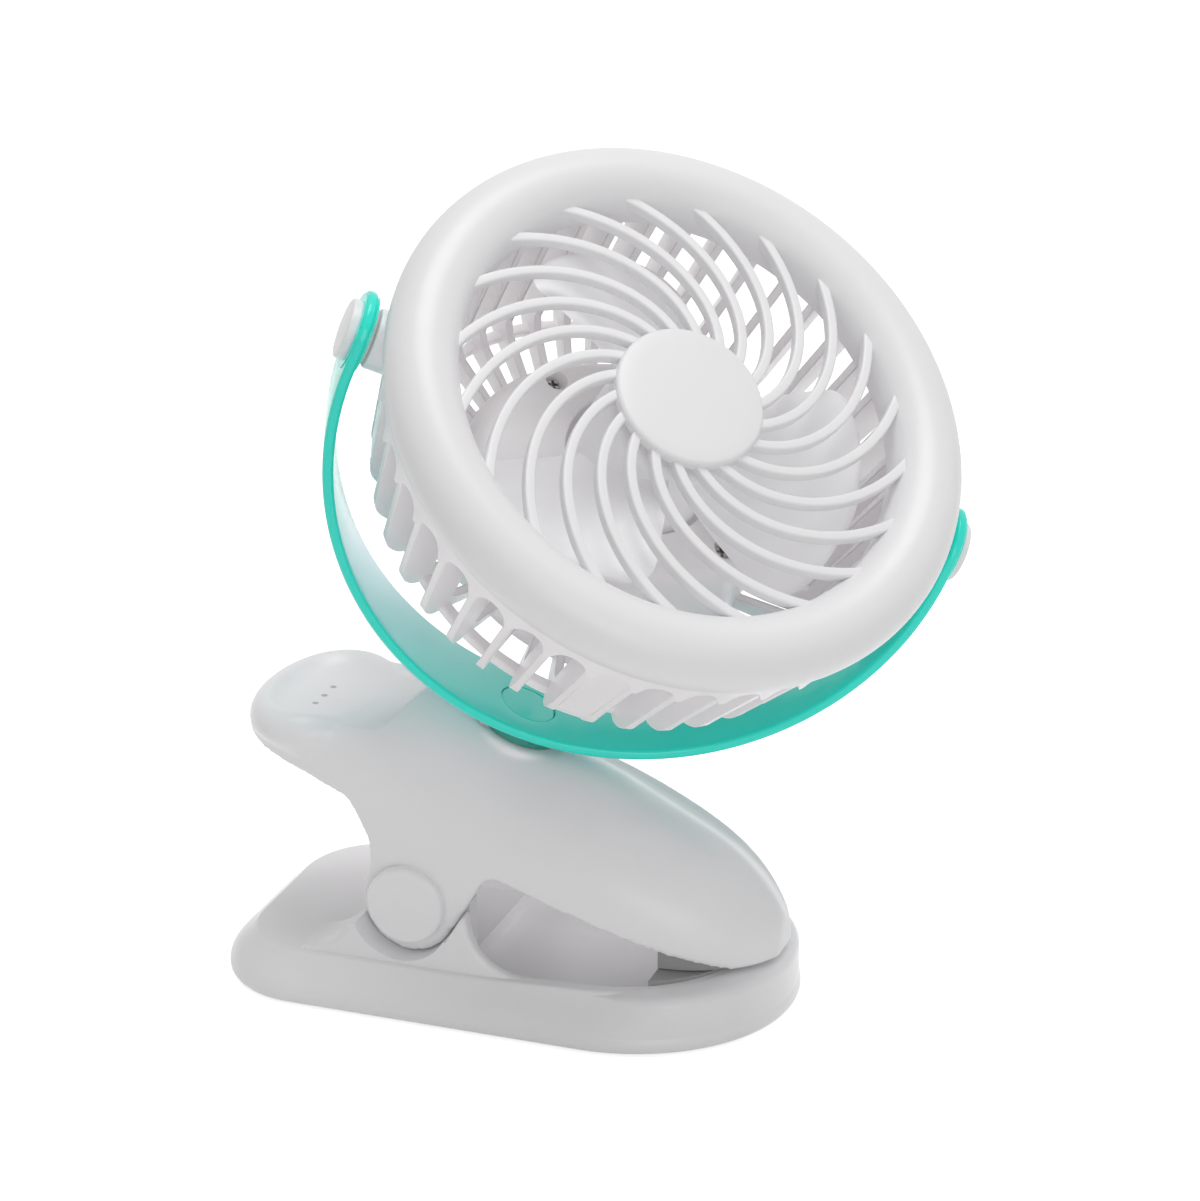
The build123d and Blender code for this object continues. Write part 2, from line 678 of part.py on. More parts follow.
# Head, in its own frame: X along the tilt axis, Z out of the face
def bar_face(angle):
    edges = []
    for sign in (-1, 1):
        points = []
        for share in bar_path_shares:
            radius = bar_root_radius + share * (bar_tip_radius - bar_root_radius)
            turn = math.radians(angle + share * bar_sweep)
            slope = math.radians(bar_sweep) * radius / (bar_tip_radius - bar_root_radius)
            lean = turn + math.atan(slope) + math.pi / 2
            half = sign * bar_width / 2
            x = radius * math.cos(turn) + half * math.cos(lean)
            y = radius * math.sin(turn) + half * math.sin(lean)
            points.append((x, y))
        edges.append(points)
    one = Spline(*edges[0])
    two = Spline(*edges[1])
    ends = [Line(edges[0][0], edges[1][0]), Line(edges[0][-1], edges[1][-1])]
    return make_face([one, two] + ends)


def make_front_grille():
    tube_x = ring_radius - ring_tube
    drop = ring_plane_z - ring_rear_z
    outer_x = tube_x + math.sqrt(ring_tube ** 2 - drop ** 2)
    inner_x = tube_x - ring_tube
    section = make_face([
        Line((inner_x, ring_rear_z), (inner_x, ring_plane_z)),
        ThreePointArc((inner_x, ring_plane_z), (tube_x, ring_plane_z + ring_tube), (ring_radius, ring_plane_z)),
        CenterArc((tube_x, ring_plane_z), ring_tube, 0, -math.degrees(math.asin(drop / ring_tube))),
        Line((outer_x, ring_rear_z), (inner_x, ring_rear_z)),
    ])
    ring = revolve(Plane.XZ * section, Axis.Z)
    groove_top = ring_rear_z + groove_depth
    ring = ring - lathe((groove_inner_radius, ring_rear_z), (groove_outer_radius, ring_rear_z),
                        (groove_outer_radius, groove_top), (groove_inner_radius, groove_top))
    disc = extrude(Pos(0, 0, disc_front_z - disc_thickness) * Circle(disc_radius), amount=disc_thickness)
    disc = fillet(disc.edges().sort_by(Axis.Z)[-1], disc_round)
    bars = []
    for index in range(bar_count):
        angle = bar_phase + index * 2 * half_turn / bar_count
        bars.append(extrude(bar_face(angle), amount=2 * disc_front_z))
    band = lathe((0, bar_front_inner_z - bar_depth), (0, bar_front_inner_z),
                 (bar_tip_radius, bar_front_outer_z), (bar_tip_radius, bar_front_outer_z - bar_depth))
    bars = [bar & band for bar in bars]
    body = ring + disc
    for bar in bars:
        body = body + bar
    return body


def side_run(inset):
    top = (cage_radius - inset, cage_front_z)
    low = (side_low_radius - inset, side_low_z)
    rear = (corner_end_radius, corner_end_z + inset)
    lean = (low[0] - top[0], low[1] - top[1])
    return top, low, rear, lean


def cage_wall():
    top, low, rear, lean = side_run(panel_inset)
    top_in, low_in, rear_in, lean_in = side_run(panel_inset + cage_shell)
    return make_face([
        Line(top, low),
        TangentArc(low, rear, tangent=lean),
        Line(rear, rear_in),
        TangentArc(low_in, rear_in, tangent=lean_in),
        Line(low_in, top_in),
        Line(top_in, top),
    ])


def fin_face():
    top, low, rear, lean = side_run(0)
    root_radius = hub_plate_radius - drum_wall / 2
    root_low = (root_radius, drum_rear_z)
    root_high = (root_radius, fin_root_z)
    bend = (fin_bend_radius, fin_bend_z)
    inner_low = (fin_low_radius, fin_low_z)
    inner_top = (fin_inner_radius, cage_front_z)
    return make_face([
        Line(top, low),
        TangentArc(low, rear, tangent=lean),
        Line(rear, root_low),
        Line(root_low, root_high),
        Line(root_high, bend),
        Line(bend, inner_low),
        Line(inner_low, inner_top),
        Line(inner_top, top),
    ])


def cage_panel(angle, pitches):
    span = pitches * 2 * half_turn / fin_count
    panel = revolve(Plane.XZ * cage_wall(), Axis.Z, revolution_arc=span)
    return Rot(0, 0, angle - span / 2) * panel


def make_rear_cage():
    flange = lathe((fin_inner_radius, cage_front_z), (cage_radius, cage_front_z),
                   (cage_radius, ring_rear_z), (fin_inner_radius, ring_rear_z))
    spigot_top = ring_rear_z + spigot_height
    spigot = lathe((spigot_radius - spigot_width, cage_front_z), (spigot_radius, cage_front_z),
                   (spigot_radius, spigot_top), (spigot_radius - spigot_width, spigot_top))
    ring_inner = corner_ring_radius - corner_ring_width / 2
    ring_outer = corner_ring_radius + corner_ring_width / 2
    ring = lathe((ring_inner, corner_ring_low_z), (ring_outer, corner_ring_low_z),
                 (ring_outer, corner_ring_high_z), (ring_inner, corner_ring_high_z))
    plate_rear_z = hub_plate_front_z - hub_plate_thickness
    drum_inner = hub_plate_radius - drum_wall
    drum = lathe((shaft_radius * 2, plate_rear_z), (drum_inner, plate_rear_z), (drum_inner, drum_rear_z),
                 (hub_plate_radius, drum_rear_z), (hub_plate_radius, hub_plate_front_z),
                 (shaft_radius * 2, hub_plate_front_z))
    body = flange + spigot + drum + ring
    fin = extrude(Plane.XZ * fin_face(), amount=fin_thickness / 2, both=True)
    fins = []
    for index in range(fin_count):
        fins.append(Rot(0, 0, (index + 0.5) * 2 * half_turn / fin_count) * fin)
    body = body + fins
    body = body + cage_panel(-quarter_turn, bottom_panel_pitches)
    for side, angle in ((1, 0), (-1, half_turn)):
        bore_start = side * (boss_end_x - tilt_screw_depth)
        bore = cylinder_between(tilt_shank_radius, (bore_start, 0, 0), (side * ring_radius * 2, 0, 0))
        boss = cylinder_between(boss_radius, (side * boss_root_radius, 0, 0), (side * boss_end_x, 0, 0))
        body = body + (cage_panel(angle, pivot_panel_pitches) - bore) + (boss - bore)
    for spot in hub_screw_spots():
        place = Pos(spot[0], spot[1])
        pad = slab(place * Circle(hub_screw_pad_radius), hub_plate_front_z, screw_seat_z)
        post = slab(place * Circle(drum_post_radius), drum_rear_z, plate_rear_z)
        body = body + pad + post - slab(place * Circle(hub_screw_radius), drum_rear_z, cage_front_z)
    return body


def hub_screw_spots():
    spots = []
    for turn in (0, half_turn):
        angle = math.radians(hub_screw_angle + turn)
        spots.append((hub_screw_radius_at * math.cos(angle), hub_screw_radius_at * math.sin(angle)))
    return spots


screw_seat_z = hub_plate_front_z + hub_screw_pad_height
front_grille = make_front_grille()
rear_cage = make_rear_cage()
hub_screws = []
for spot_x, spot_y in hub_screw_spots():
    head = extrude(Pos(spot_x, spot_y, screw_seat_z) * Circle(hub_screw_head_radius), amount=hub_screw_head_height)
    head = fillet(head.edges().sort_by(Axis.Z)[-1], hub_screw_head_height / 2)
    shank = extrude(Pos(spot_x, spot_y, screw_seat_z) * Circle(hub_screw_radius), amount=-hub_screw_length)
    slot = cross_slot(spot_x, spot_y, screw_seat_z + hub_screw_head_height - cross_depth, cross_depth)
    hub_screws.append(head + shank - slot)


# Motor and impeller
motor_can = lathe((shaft_radius + running_gap, hub_plate_front_z), (motor_radius, hub_plate_front_z),
                  (motor_radius, motor_front_z), (shaft_radius + running_gap, motor_front_z))
motor_bush = lathe((shaft_radius + running_gap, motor_front_z), (motor_cap_radius, motor_front_z),
                   (motor_cap_radius, motor_front_z + motor_cap_height),
                   (shaft_radius + running_gap, motor_front_z + motor_cap_height))
shaft_low = motor_front_z - shaft_tail
shaft_top = hub_front_z - hub_wall
motor_shaft = cylinder_between(shaft_radius, (0, 0, shaft_low), (0, 0, shaft_top))
can_floor_z = shaft_low - moving_gap
motor_can = motor_can + cylinder_between(2 * shaft_radius, (0, 0, hub_plate_front_z), (0, 0, can_floor_z))


def make_blade(angle):
    sections = []
    for radius, chord, pitch in ((hub_radius - hub_wall, blade_root_chord, blade_root_pitch),
                                 (blade_tip_radius + blade_thickness, blade_tip_chord, blade_tip_pitch)):
        plane = Plane(origin=(radius, 0, blade_mid_z), x_dir=(0, 1, 0), z_dir=(1, 0, 0))
        sections.append(plane * (Rot(0, 0, -pitch) * Rectangle(chord, blade_thickness)))
    blade = loft(sections)
    span = blade_tip_radius - hub_radius
    outline = Pos(hub_radius + span / 2, 0) * RectangleRounded(
        span + 2 * blade_round, blade_tip_chord - blade_thickness, blade_round)
    outline = outline & Circle(blade_tip_radius)
    blade = blade & extrude(outline, amount=hub_radius * 2, both=True)
    return Rot(0, 0, angle) * blade


def make_impeller():
    cup = lathe((0, hub_rear_z), (hub_radius, hub_rear_z), (hub_radius, hub_front_z), (0, hub_front_z))
    cup = fillet(cup.edges().sort_by(Axis.Z)[-1], hub_round)
    body = cup
    for index in range(blade_count):
        body = body + make_blade(blade_phase + index * 2 * half_turn / blade_count)
    room_radius = hub_radius - hub_wall
    body = body - cylinder_between(room_radius, (0, 0, hub_rear_z - reach), (0, 0, hub_front_z - hub_wall))
    core_low = hub_front_z - hub_wall - hub_core_length
    body = body + cylinder_between(hub_core_radius, (0, 0, core_low), (0, 0, hub_front_z - hub_wall))
    return body - cylinder_between(shaft_radius, (0, 0, shaft_low), (0, 0, shaft_top))


impeller = make_impeller()


# Pod behind the drum
def pod_face(inset):
    return SlotOverall(pod_length - 2 * inset, pod_width - 2 * inset)


def box_at(x, y, z, size_x, size_y, size_z):
    return Pos(x, y, z) * Box(size_x, size_y, size_z)


pod_floor_z = drum_rear_z - pod_wall
pod_shell = slab(pod_face(0), pod_shell_rear_z, drum_rear_z)
pod_shell = pod_shell - slab(pod_face(pod_wall), pod_shell_rear_z, pod_floor_z)
pod_cover_low = pod_shell_rear_z - pod_cover_thickness
pod_cover = slab(pod_face(0), pod_cover_low, pod_shell_rear_z)
pod_cover = fillet(pod_cover.faces().sort_by(Axis.Z)[0].edges(), pod_cover_round)
pod_screws = []
for side in (-1, 1):
    post_spot = Pos(side * post_x, post_y)
    pod_shell = pod_shell + slab(post_spot * Circle(post_radius), pod_shell_rear_z, pod_floor_z)
    screw_low = pod_cover_low
    head_high = screw_low + pod_screw_head_height
    bore = slab(post_spot * Circle(pod_screw_radius), screw_low, screw_low + pod_screw_length)
    head = slab(post_spot * Circle(pod_screw_head_radius), screw_low, head_high)
    pod_shell = pod_shell - bore
    pod_cover = pod_cover - bore - head
    pod_screws.append(head + bore - cross_slot(side * post_x, post_y, screw_low, cross_depth))
for spot_x, spot_y in hub_screw_spots():
    bore_low = screw_seat_z - hub_screw_length
    pod_shell = pod_shell - extrude(Pos(spot_x, spot_y, bore_low) * Circle(hub_screw_radius), amount=reach)
battery_cell = cylinder_between(cell_radius, (-cell_length / 2, cell_y, cell_z), (cell_length / 2, cell_y, cell_z))
battery_cell = battery_cell + cylinder_between(cell_nub_radius, (cell_length / 2, cell_y, cell_z),
                                               (cell_length / 2 + cell_nub_length, cell_y, cell_z))
cradle_span = cell_length / 4
for side in (-1, 1):
    rib = box_at(side * cradle_span, cell_y, (cell_z + pod_floor_z) / 2, pod_wall, 2 * cell_radius,
                 pod_floor_z - cell_z)
    pod_shell = pod_shell + rib
pod_shell = pod_shell - cylinder_between(cell_radius, (-cell_length / 2, cell_y, cell_z),
                                         (cell_length / 2, cell_y, cell_z))
circuit_board = box_at(0, board_y, board_z, board_length, board_thickness, board_height)
board_face_y = board_y + board_thickness / 2
board_top_z = board_z + board_height / 2
for side in (-1, 1):
    stand_x = side * (board_length / 2 - pod_wall)
    stand = box_at(stand_x, board_y, (board_top_z + pod_floor_z) / 2, pod_wall, 3 * board_thickness,
                   pod_floor_z - board_top_z)
    pod_shell = pod_shell + stand
switch_block = box_at(0, board_face_y + switch_height / 2, board_z, switch_size, switch_height, switch_size)
circuit_board = circuit_board + switch_block
wall_inner_y = pod_width / 2 - pod_wall
wall_outer_y = pod_width / 2
button_low_y = board_face_y + switch_height + button_travel + moving_gap
flange_low_y = wall_inner_y - moving_gap - button_flange_height
power_button = cylinder_between(button_radius, (0, button_low_y, board_z), (0, wall_outer_y + button_proud, board_z))
power_button = fillet(power_button.edges().sort_by(Axis.Y)[-1], button_proud / 2)
power_button = power_button + cylinder_between(
    button_radius + button_flange, (0, flange_low_y, board_z), (0, flange_low_y + button_flange_height, board_z))
button_hole = cylinder_between(button_radius + moving_gap, (0, flange_low_y, board_z), (0, pod_width, board_z))
inlet_hole = box_at(inlet_x, wall_outer_y, board_z, inlet_width, 2 * pod_wall, inlet_height)
lens_hole = cylinder_between(lens_radius, (lens_x, board_face_y, board_z), (lens_x, pod_width, board_z))
pod_shell = pod_shell - button_hole - inlet_hole - lens_hole
inlet_length = wall_outer_y - board_face_y
charge_inlet = box_at(inlet_x, board_face_y + inlet_length / 2, board_z, inlet_width, inlet_length, inlet_height)
inlet_room = box_at(inlet_x, wall_outer_y, board_z, inlet_width - 2 * inlet_wall, inlet_length,
                    inlet_height - 2 * inlet_wall)
charge_inlet = charge_inlet - inlet_room
tongue = box_at(inlet_x, board_face_y + inlet_length / 2, board_z, inlet_width / 2, inlet_length - inlet_wall,
                inlet_wall)
charge_inlet = charge_inlet + tongue
indicator_lens = cylinder_between(lens_radius, (lens_x, board_face_y, board_z), (lens_x, wall_outer_y, board_z))


def placed(plane, shapes):
    group = shapes if isinstance(shapes, list) else [shapes]
    moved = [plane * shape for shape in group]
    return Compound(children=moved) if len(moved) > 1 else moved[0]


world_nodes = {
    "base_shell": base_shell,
    "sole_plate": sole_plate,
    "sole_screws": sole_screws,
    "foot_mat": foot_mat,
    "lower_jaw_pad": lower_jaw_pad,
    "clip_spring": clip_spring,
    "upper_jaw": upper_jaw,
    "upper_jaw_pad": upper_jaw_pad,
    "clip_pin": clip_pin,
    "pivot_caps": pivot_caps,
    "clip_spring_arm": clip_spring_arm,
}
yoke_nodes = {
    "yoke": yoke,
    "swivel_collar": swivel_collar,
    "swivel_bolt": swivel_bolt,
    "swivel_washer": swivel_washer,
    "swivel_nut": swivel_nut,
    "yoke_cover": yoke_cover,
    "tilt_caps": tilt_caps,
    "friction_washers": friction_washers,
}
head_nodes = {
    "tilt_screws": tilt_screws,
    "front_grille": front_grille,
    "rear_cage": rear_cage,
    "hub_screws": hub_screws,
    "motor_can": motor_can,
    "motor_bush": motor_bush,
    "motor_shaft": motor_shaft,
    "impeller": impeller,
    "pod_shell": pod_shell,
    "pod_cover": pod_cover,
    "pod_screws": pod_screws,
    "battery_cell": battery_cell,
    "circuit_board": circuit_board,
    "power_button": power_button,
    "charge_inlet": charge_inlet,
    "indicator_lens": indicator_lens,
}
for frame, nodes in ((Plane.XY, world_nodes), (yoke_plane, yoke_nodes), (head_plane, head_nodes)):
    for name, shape in nodes.items():
        export_step(placed(frame, shape), "parts/" + name + ".step")
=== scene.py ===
import json
import math
import bmesh
import bpy
from mathutils import Matrix, Vector
from mathutils.bvhtree import BVHTree


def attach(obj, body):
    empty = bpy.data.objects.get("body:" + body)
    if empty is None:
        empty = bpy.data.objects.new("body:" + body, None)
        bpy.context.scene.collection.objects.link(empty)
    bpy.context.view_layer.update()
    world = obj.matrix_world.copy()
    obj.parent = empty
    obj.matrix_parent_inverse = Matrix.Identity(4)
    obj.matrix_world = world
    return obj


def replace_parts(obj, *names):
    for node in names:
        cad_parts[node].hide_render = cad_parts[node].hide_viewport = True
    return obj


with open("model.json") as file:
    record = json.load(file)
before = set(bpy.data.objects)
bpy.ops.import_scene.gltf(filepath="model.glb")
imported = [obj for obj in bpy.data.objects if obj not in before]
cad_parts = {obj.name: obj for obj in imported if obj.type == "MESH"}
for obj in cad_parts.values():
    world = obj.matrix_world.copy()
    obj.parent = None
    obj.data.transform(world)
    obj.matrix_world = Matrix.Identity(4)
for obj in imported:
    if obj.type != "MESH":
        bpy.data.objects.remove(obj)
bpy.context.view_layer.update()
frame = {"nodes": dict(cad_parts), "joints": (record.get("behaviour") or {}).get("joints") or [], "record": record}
scene = bpy.context.scene
scene.view_settings.view_transform = "Standard"
nodes = frame["nodes"]
joints = {joint["name"]: joint for joint in frame["joints"]}
print("frame loaded:", len(nodes), "nodes")

mm = 0.001
tiny = 0.000001
tiltAxis = Vector(joints["head_tilt"]["axis"]).normalized()
faceAxis = Vector(joints["impeller_spin"]["axis"]).normalized()
pivotCentre = Vector(joints["head_tilt"]["pos_m"])


def frameMatrix(xAxis, zAxis, origin):
    yAxis = zAxis.cross(xAxis)
    turn = Matrix((xAxis, yAxis, zAxis)).transposed().to_4x4()
    return Matrix.Translation(origin) @ turn


headMatrix = frameMatrix(tiltAxis, faceAxis, pivotCentre)    # x along the tilt axis, z out of the face


# shader nodes that several effects use
def addMath(tree, operation, second=None):
    node = tree.nodes.new("ShaderNodeMath")
    node.operation = operation
    if second is not None:
        node.inputs[1].default_value = second
    return node


def addRange(tree, low, high):
    node = tree.nodes.new("ShaderNodeMapRange")
    node.inputs["From Min"].default_value = low
    node.inputs["From Max"].default_value = high
    return node


def addColourMix(tree):
    node = tree.nodes.new("ShaderNodeMix")
    node.data_type = "RGBA"
    return node


def addNoise(tree, detail):
    node = tree.nodes.new("ShaderNodeTexNoise")
    node.inputs["Detail"].default_value = detail
    return node


# shared shader effects
def newGroup(name, inputs, outputs):
    group = bpy.data.node_groups.new(name, "ShaderNodeTree")
    for label, kind, value in inputs:
        socket = group.interface.new_socket(name=label, in_out="INPUT", socket_type=kind)
        socket.default_value = value
    for label, kind in outputs:
        group.interface.new_socket(name=label, in_out="OUTPUT", socket_type=kind)
    start = group.nodes.new("NodeGroupInput")
    end = group.nodes.new("NodeGroupOutput")
    return group, start, end


def mixTones(group, start, end, factor):
    tone = addColourMix(group)
    group.links.new(factor, tone.inputs["Factor"])
    group.links.new(start.outputs["Light Tone"], tone.inputs["A"])
    group.links.new(start.outputs["Deep Tone"], tone.inputs["B"])
    group.links.new(tone.outputs["Result"], end.inputs["Color"])


def spreadSheen(group, start, end, value):
    sheen = addRange(group, 0.3, 0.7)
    group.links.new(value, sheen.inputs["Value"])
    group.links.new(start.outputs["Smooth"], sheen.inputs["To Min"])
    group.links.new(start.outputs["Rough"], sheen.inputs["To Max"])
    group.links.new(sheen.outputs["Result"], end.inputs["Roughness"])


def makeMouldGrain():
    group, start, end = newGroup(
        "mouldGrain",
        [("Grain Scale", "NodeSocketFloat", 900.0), ("Flow Scale", "NodeSocketFloat", 18.0),
         ("Light Tone", "NodeSocketColor", (0.8, 0.8, 0.8, 1)),
         ("Deep Tone", "NodeSocketColor", (0.75, 0.75, 0.75, 1)),
         ("Smooth", "NodeSocketFloat", 0.3), ("Rough", "NodeSocketFloat", 0.45)],
        [("Color", "NodeSocketColor"), ("Roughness", "NodeSocketFloat"), ("Height", "NodeSocketFloat")])
    link = group.links.new
    coords = group.nodes.new("ShaderNodeTexCoord")
    flow = addNoise(group, 4.0)                           # slow drift left by the melt front
    flow.inputs["Distortion"].default_value = 0.6
    grain = addNoise(group, 2.0)                          # fine spark texture of the tool
    peel = addNoise(group, 1.0)                           # faint orange peel
    peelScale = addMath(group, "MULTIPLY", 0.22)
    drift = addRange(group, 0.32, 0.68)
    half = addMath(group, "MULTIPLY", 0.5)
    both = addMath(group, "ADD")
    for texture in (flow, grain, peel):
        link(coords.outputs["Object"], texture.inputs["Vector"])
    link(start.outputs["Flow Scale"], flow.inputs["Scale"])
    link(start.outputs["Grain Scale"], grain.inputs["Scale"])
    link(start.outputs["Grain Scale"], peelScale.inputs[0])
    link(peelScale.outputs[0], peel.inputs["Scale"])
    link(flow.outputs["Fac"], drift.inputs["Value"])
    mixTones(group, start, end, drift.outputs["Result"])
    spreadSheen(group, start, end, peel.outputs["Fac"])
    link(grain.outputs["Fac"], half.inputs[0])
    link(half.outputs[0], both.inputs[0])
    link(peel.outputs["Fac"], both.inputs[1])
    link(both.outputs[0], end.inputs["Height"])
    return group


def makeRubberSkin():
    group, start, end = newGroup(
        "rubberSkin",
        [("Scale", "NodeSocketFloat", 700.0), ("Light Tone", "NodeSocketColor", (0.3, 0.3, 0.3, 1)),
         ("Deep Tone", "NodeSocketColor", (0.2, 0.2, 0.2, 1))],
        [("Color", "NodeSocketColor"), ("Height", "NodeSocketFloat")])
    link = group.links.new
    coords = group.nodes.new("ShaderNodeTexCoord")
    pebble = group.nodes.new("ShaderNodeTexVoronoi")
    bloom = addNoise(group, 5.0)
    bloom.inputs["Scale"].default_value = 90.0
    link(coords.outputs["Object"], pebble.inputs["Vector"])
    link(coords.outputs["Object"], bloom.inputs["Vector"])
    link(start.outputs["Scale"], pebble.inputs["Scale"])
    mixTones(group, start, end, bloom.outputs["Fac"])
    link(pebble.outputs["Distance"], end.inputs["Height"])
    return group


def makeMetalGrain():
    group, start, end = newGroup(
        "metalGrain",
        [("Scale", "NodeSocketFloat", 1200.0), ("Stretch", "NodeSocketVector", (1.0, 1.0, 0.08)),
         ("Light Tone", "NodeSocketColor", (0.7, 0.7, 0.7, 1)),
         ("Deep Tone", "NodeSocketColor", (0.5, 0.5, 0.5, 1)),
         ("Smooth", "NodeSocketFloat", 0.2), ("Rough", "NodeSocketFloat", 0.4)],
        [("Color", "NodeSocketColor"), ("Roughness", "NodeSocketFloat"), ("Height", "NodeSocketFloat")])
    link = group.links.new
    coords = group.nodes.new("ShaderNodeTexCoord")
    stretch = group.nodes.new("ShaderNodeVectorMath")
    stretch.operation = "MULTIPLY"
    scratch = addNoise(group, 6.0)
    link(coords.outputs["Object"], stretch.inputs[0])
    link(start.outputs["Stretch"], stretch.inputs[1])
    link(stretch.outputs["Vector"], scratch.inputs["Vector"])
    link(start.outputs["Scale"], scratch.inputs["Scale"])
    mixTones(group, start, end, scratch.outputs["Fac"])
    spreadSheen(group, start, end, scratch.outputs["Fac"])
    link(scratch.outputs["Fac"], end.inputs["Height"])
    return group


mouldGrain = makeMouldGrain()
rubberSkin = makeRubberSkin()
metalGrain = makeMetalGrain()


# materials
def startMaterial(name):
    material = bpy.data.materials.new(name)
    material.use_nodes = True
    tree = material.node_tree
    return material, tree, tree.nodes["Principled BSDF"]


def placeGroup(tree, group, values):
    node = tree.nodes.new("ShaderNodeGroup")
    node.node_tree = group
    for label, value in values.items():
        node.inputs[label].default_value = value
    return node


def addBump(tree, shader, height, strength, distance):
    bump = tree.nodes.new("ShaderNodeBump")
    bump.inputs["Strength"].default_value = strength
    bump.inputs["Distance"].default_value = distance
    tree.links.new(height, bump.inputs["Height"])
    tree.links.new(bump.outputs["Normal"], shader.inputs["Normal"])


def plastic(name, light, deep, smooth, rough, grainScale=900.0, bump=0.06, paintedGlow=0.0,
            paintedGlowTone=(1.0, 0.98, 0.99)):
    material, tree, shader = startMaterial(name)
    skin = placeGroup(tree, mouldGrain, {
        "Grain Scale": grainScale, "Flow Scale": 18.0, "Light Tone": (*light, 1), "Deep Tone": (*deep, 1),
        "Smooth": smooth, "Rough": rough})
    tree.links.new(skin.outputs["Color"], shader.inputs["Base Color"])
    tree.links.new(skin.outputs["Roughness"], shader.inputs["Roughness"])
    shader.inputs["Specular IOR Level"].default_value = 0.5
    shader.inputs["Emission Color"].default_value = (*paintedGlowTone, 1)
    shader.inputs["Emission Strength"].default_value = paintedGlow   # painted glow, standing in for light let through the thin walls
    addBump(tree, shader, skin.outputs["Height"], strength=bump, distance=0.0004)
    return material


def rubber(name, light, deep):
    material, tree, shader = startMaterial(name)
    skin = placeGroup(tree, rubberSkin, {"Scale": 700.0, "Light Tone": (*light, 1), "Deep Tone": (*deep, 1)})
    tree.links.new(skin.outputs["Color"], shader.inputs["Base Color"])
    shader.inputs["Roughness"].default_value = 0.72
    shader.inputs["Specular IOR Level"].default_value = 0.35
    addBump(tree, shader, skin.outputs["Height"], strength=0.25, distance=0.0003)
    return material


def metal(name, light, deep, smooth, rough, scale=1200.0):
    material, tree, shader = startMaterial(name)
    skin = placeGroup(tree, metalGrain, {
        "Scale": scale, "Light Tone": (*light, 1), "Deep Tone": (*deep, 1), "Smooth": smooth, "Rough": rough})
    tree.links.new(skin.outputs["Color"], shader.inputs["Base Color"])
    tree.links.new(skin.outputs["Roughness"], shader.inputs["Roughness"])
    shader.inputs["Metallic"].default_value = 1.0
    addBump(tree, shader, skin.outputs["Height"], strength=0.08, distance=0.0002)
    return material


# the yoke's plastic: the stops give the share of painted pale reflection along the tilt axis, over halfSpan each
# way
yokeLook = {"blend": 0.42, "glanceFrom": 0.22, "glanceTo": 0.80, "halfSpan": 0.080, "bounceCalm": 0.6,
            "stops": [(0.0, 0.0), (0.08, 0.0), (0.15, 1.0), (0.26, 0.95), (0.45, 0.42), (0.7, 0.12),
                      (1.0, 0.0)]}


def turquoise(name, light, deep, pale, look):
    # saturated straight on, with a painted pale reflection mixed in along the left arm where the surface is seen
    # at a glancing angle
    material, tree, shader = startMaterial(name)
    link = tree.links.new
    skin = placeGroup(tree, mouldGrain, {
        "Grain Scale": 700.0, "Flow Scale": 14.0, "Light Tone": (*light, 1), "Deep Tone": (*deep, 1),
        "Smooth": 0.14, "Rough": 0.17})
    facing = tree.nodes.new("ShaderNodeLayerWeight")
    facing.inputs["Blend"].default_value = look["blend"]
    glance = addRange(tree, look["glanceFrom"], look["glanceTo"])
    coords = tree.nodes.new("ShaderNodeTexCoord")
    along = tree.nodes.new("ShaderNodeVectorMath")        # place along the tilt axis
    along.operation = "DOT_PRODUCT"
    along.inputs[1].default_value = tiltAxis
    middle = pivotCentre.dot(tiltAxis)
    span = addRange(tree, middle - look["halfSpan"], middle + look["halfSpan"])
    ramp = tree.nodes.new("ShaderNodeValToRGB")
    elements = ramp.color_ramp.elements
    stops = look["stops"]
    for element, (place, value) in zip(elements, (stops[0], stops[-1])):
        element.position = place
        element.color = (value, value, value, 1)
    for place, value in stops[1:-1]:
        elements.new(place).color = (value, value, value, 1)
    paintedReflectionShare = addMath(tree, "MULTIPLY")
    mix = addColourMix(tree)
    mix.inputs["B"].default_value = (*pale, 1)
    link(coords.outputs["Object"], along.inputs[0])
    link(along.outputs["Value"], span.inputs["Value"])
    link(span.outputs["Result"], ramp.inputs["Fac"])
    link(facing.outputs["Facing"], glance.inputs["Value"])
    link(glance.outputs["Result"], paintedReflectionShare.inputs[0])
    link(ramp.outputs["Color"], paintedReflectionShare.inputs[1])
    link(paintedReflectionShare.outputs[0], mix.inputs["Factor"])
    link(skin.outputs["Color"], mix.inputs["A"])
    # softer bounce: the tint thrown on the white mouldings is part of its full strength
    path = tree.nodes.new("ShaderNodeLightPath")
    calm = addMath(tree, "MULTIPLY", look["bounceCalm"])
    bounce = addColourMix(tree)
    bounce.inputs["B"].default_value = (*pale, 1)
    link(path.outputs["Is Diffuse Ray"], calm.inputs[0])
    link(calm.outputs[0], bounce.inputs["Factor"])
    link(mix.outputs["Result"], bounce.inputs["A"])
    link(bounce.outputs["Result"], shader.inputs["Base Color"])
    link(skin.outputs["Roughness"], shader.inputs["Roughness"])
    return material


